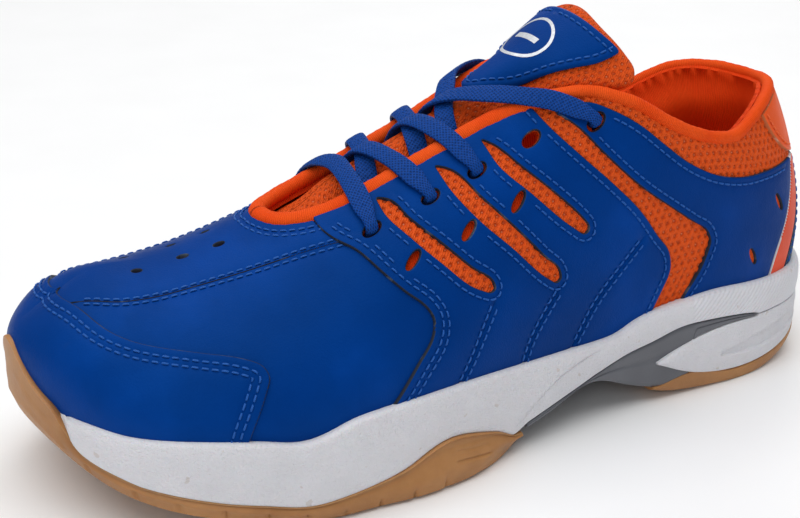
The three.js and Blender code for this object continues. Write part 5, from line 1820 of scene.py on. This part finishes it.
def pod():
    Q = both(columns(-9, 80, 0.7))
    s_at = feather(Q)[:, 0]

    def high(s, Q):
        return np.maximum(np.where(s < 36, 21.6, WING_LOW(s)), POD_LOW(s) + 0.3)

    height = between(lambda s, Q: POD_LOW(s), high)
    proud = 0.75 * ramp(s_at, 56, 74)
    levels = [(2.0, height(0, -0.1)), (4.6, height(0, -0.05)), (5.05 + proud * 0.5, height(0.012))]
    for t in np.linspace(0.03, 0.97, 44):
        z = height(t)(s_at, Q)
        round_ = math.sqrt(max(0.0, 1 - abs(2 * t - 1) ** 6))
        out = 5.35 + 0.45 * math.sin(math.pi * t) + proud * round_
        recess = ramp(z, GROOVE_LOW(s_at) - 0.5, GROOVE_LOW(s_at) + 0.15)
        recess = recess * ramp(GROOVE_HIGH(s_at) - z, -0.2, 0.45)
        recess = recess * ramp(s_at, 53.4, 51.5) * ramp(s_at, 8, 20)
        cross = np.exp(-(((s_at - 33 - (z - 13) * 0.5) / 0.5) ** 2)) * (np.abs(z - 13.5) < 2.6) * RECESS_LINE
        out = out - RECESS_DEEP * recess - cross * recess
        levels.append((out, height(t)))
    levels += [(5.1 + proud * 0.5, height(1, -0.06)), (4.0, height(1)), (2.0, height(1))]
    loft(Q, levels, 2).make(
        "heel_pod_foam", [LOOK["foam"]], replaces=["heel_pod"], slot="foam_white", sharp=40)


def shank():
    Q = both(columns(38.2, 134, 0.7))

    def low(s, Q):
        return WING_LOW(s) + 0.06 + (GREY_LOW(s) - WING_LOW(s)) * ramp(s, 63.5, 65.5)

    height = between(low, lambda s, Q: WING_TOP(s))
    levels = [(2.0, height(0)), (4.2, height(0)), (4.7, height(0.02, 0.05)), (4.95, height(0.05, 0.1))]
    for t in np.linspace(0.08, 0.92, 24):
        groove = 0.35 * math.exp(-(((t - 0.62) / 0.05) ** 2))
        levels.append((5.05 + 0.12 * math.sin(math.pi * t) - groove, height(t)))
    levels += [(4.95, height(0.97)), (4.6, height(1, -0.03)), (2.0, height(1))]
    loft(Q, levels, 2).make(
        "arch_shank_plate", [LOOK["shank"]], replaces=["arch_shank"], slot="shank_plastic", sharp=40)


def sock():
    Q = both(columns(-9, 300, 1.2))
    inset = -8.6 + 4.4 * ramp(np.abs(Q), 0.34, 0.44)

    def height(rise):
        return lambda s, Q: feather(Q)[:, 2] + rise

    def cup(p, share):
        return -1.3 * np.sin(np.pi * share) ** 0.6

    # how far in from the foot's edge, and the height over the feather line
    section = [(1.2, 2.6), (0.3, 2.8), (0, 3.4), (0, 5.4), (0.3, 6.2), (1.0, 6.7), (1.8, 6.7)]
    levels = [(inset - inward, height(rise)) for inward, rise in section]
    piece = loft(Q, levels, 30, over=cup).make(
        "sockliner_foam", [LOOK["knit"]], replaces=["sockliner"], slot="knit_orange", sharp=60)


def kept_nodes():
    """CAD pieces that stay as they are, hidden inside the shoe."""
    for name in ("heel_counter", "strobel_board"):
        data = frame["nodes"][name].data
        data.materials.clear()
        data.materials.append(LOOK["board"])


# ---- build ----
toe_cap()
vamp()
side_vamps()
quarter_mesh()
saddles()
heel_panels()
heel_parts()
binding()
linings()
vamp_lining()
tongue()
label()
lace()
midsole()
forefoot_rubber()
heel_rubber()
pod()
shank()
sock()
kept_nodes()


# ---- camera, floor and light ----
AIM = Vector((-2.2, -13.5, 50.4)) * MM
AZIMUTH, ELEVATION, DISTANCE = math.radians(61), math.radians(21.5), 452 * MM


def add_camera():
    data = bpy.data.cameras.new("camera")
    data.lens = 65.0
    data.sensor_width = 36
    data.clip_start = 0.01
    camera = bpy.data.objects.new("camera", data)
    bpy.context.scene.collection.objects.link(camera)
    flat = math.cos(ELEVATION)
    way = Vector((math.sin(AZIMUTH) * flat, -math.cos(AZIMUTH) * flat, math.sin(ELEVATION)))
    camera.location = AIM + way * DISTANCE
    camera.rotation_euler = (-way).to_track_quat("-Z", "Y").to_euler()
    bpy.context.scene.camera = camera


def add_floor():
    mesh = bpy.data.meshes.new("floor")
    mesh.from_pydata([(-4, -4, 0), (4, -4, 0), (4, 4, 0), (-4, 4, 0)], [], [(0, 1, 2, 3)])
    n = Nodes("floor white")
    shade = n.ramp(n.noise(n.space(), 60, 3), (0.3, 0.93), (0.7, 0.95))
    mesh.materials.append(n.finish(Base_Color=shade, Roughness=0.6))
    floor = bpy.data.objects.new("floor", mesh)
    bpy.context.scene.collection.objects.link(floor)


def softbox(name, where, size, power):
    """A rectangular light that faces the shoe; where and size are in metres."""
    data = bpy.data.lights.new(name, "AREA")
    data.shape = "RECTANGLE"
    data.size, data.size_y = size
    data.energy = power
    light = bpy.data.objects.new(name, data)
    bpy.context.scene.collection.objects.link(light)
    light.location = where
    light.rotation_euler = (Vector((0, 0, 0.05)) - Vector(where)).to_track_quat("-Z", "Y").to_euler()


def add_world():
    world_ = bpy.data.worlds.new("studio")
    world_.use_nodes = True
    background = world_.node_tree.nodes["Background"]
    background.inputs["Color"].default_value = (0.97, 0.985, 1.0, 1)
    background.inputs["Strength"].default_value = 0.3
    bpy.context.scene.world = world_


bpy.context.scene.view_settings.view_transform = "Standard"
add_camera()
add_floor()
add_world()
softbox("top softbox", (0.0, -0.3, 2.2), (3.0, 3.0), 55)
softbox("front softbox", (1.3, -1.0, 0.9), (0.8, 0.6), 4)
softbox("rear softbox", (-1.2, 1.0, 1.0), (0.8, 0.6), 4)
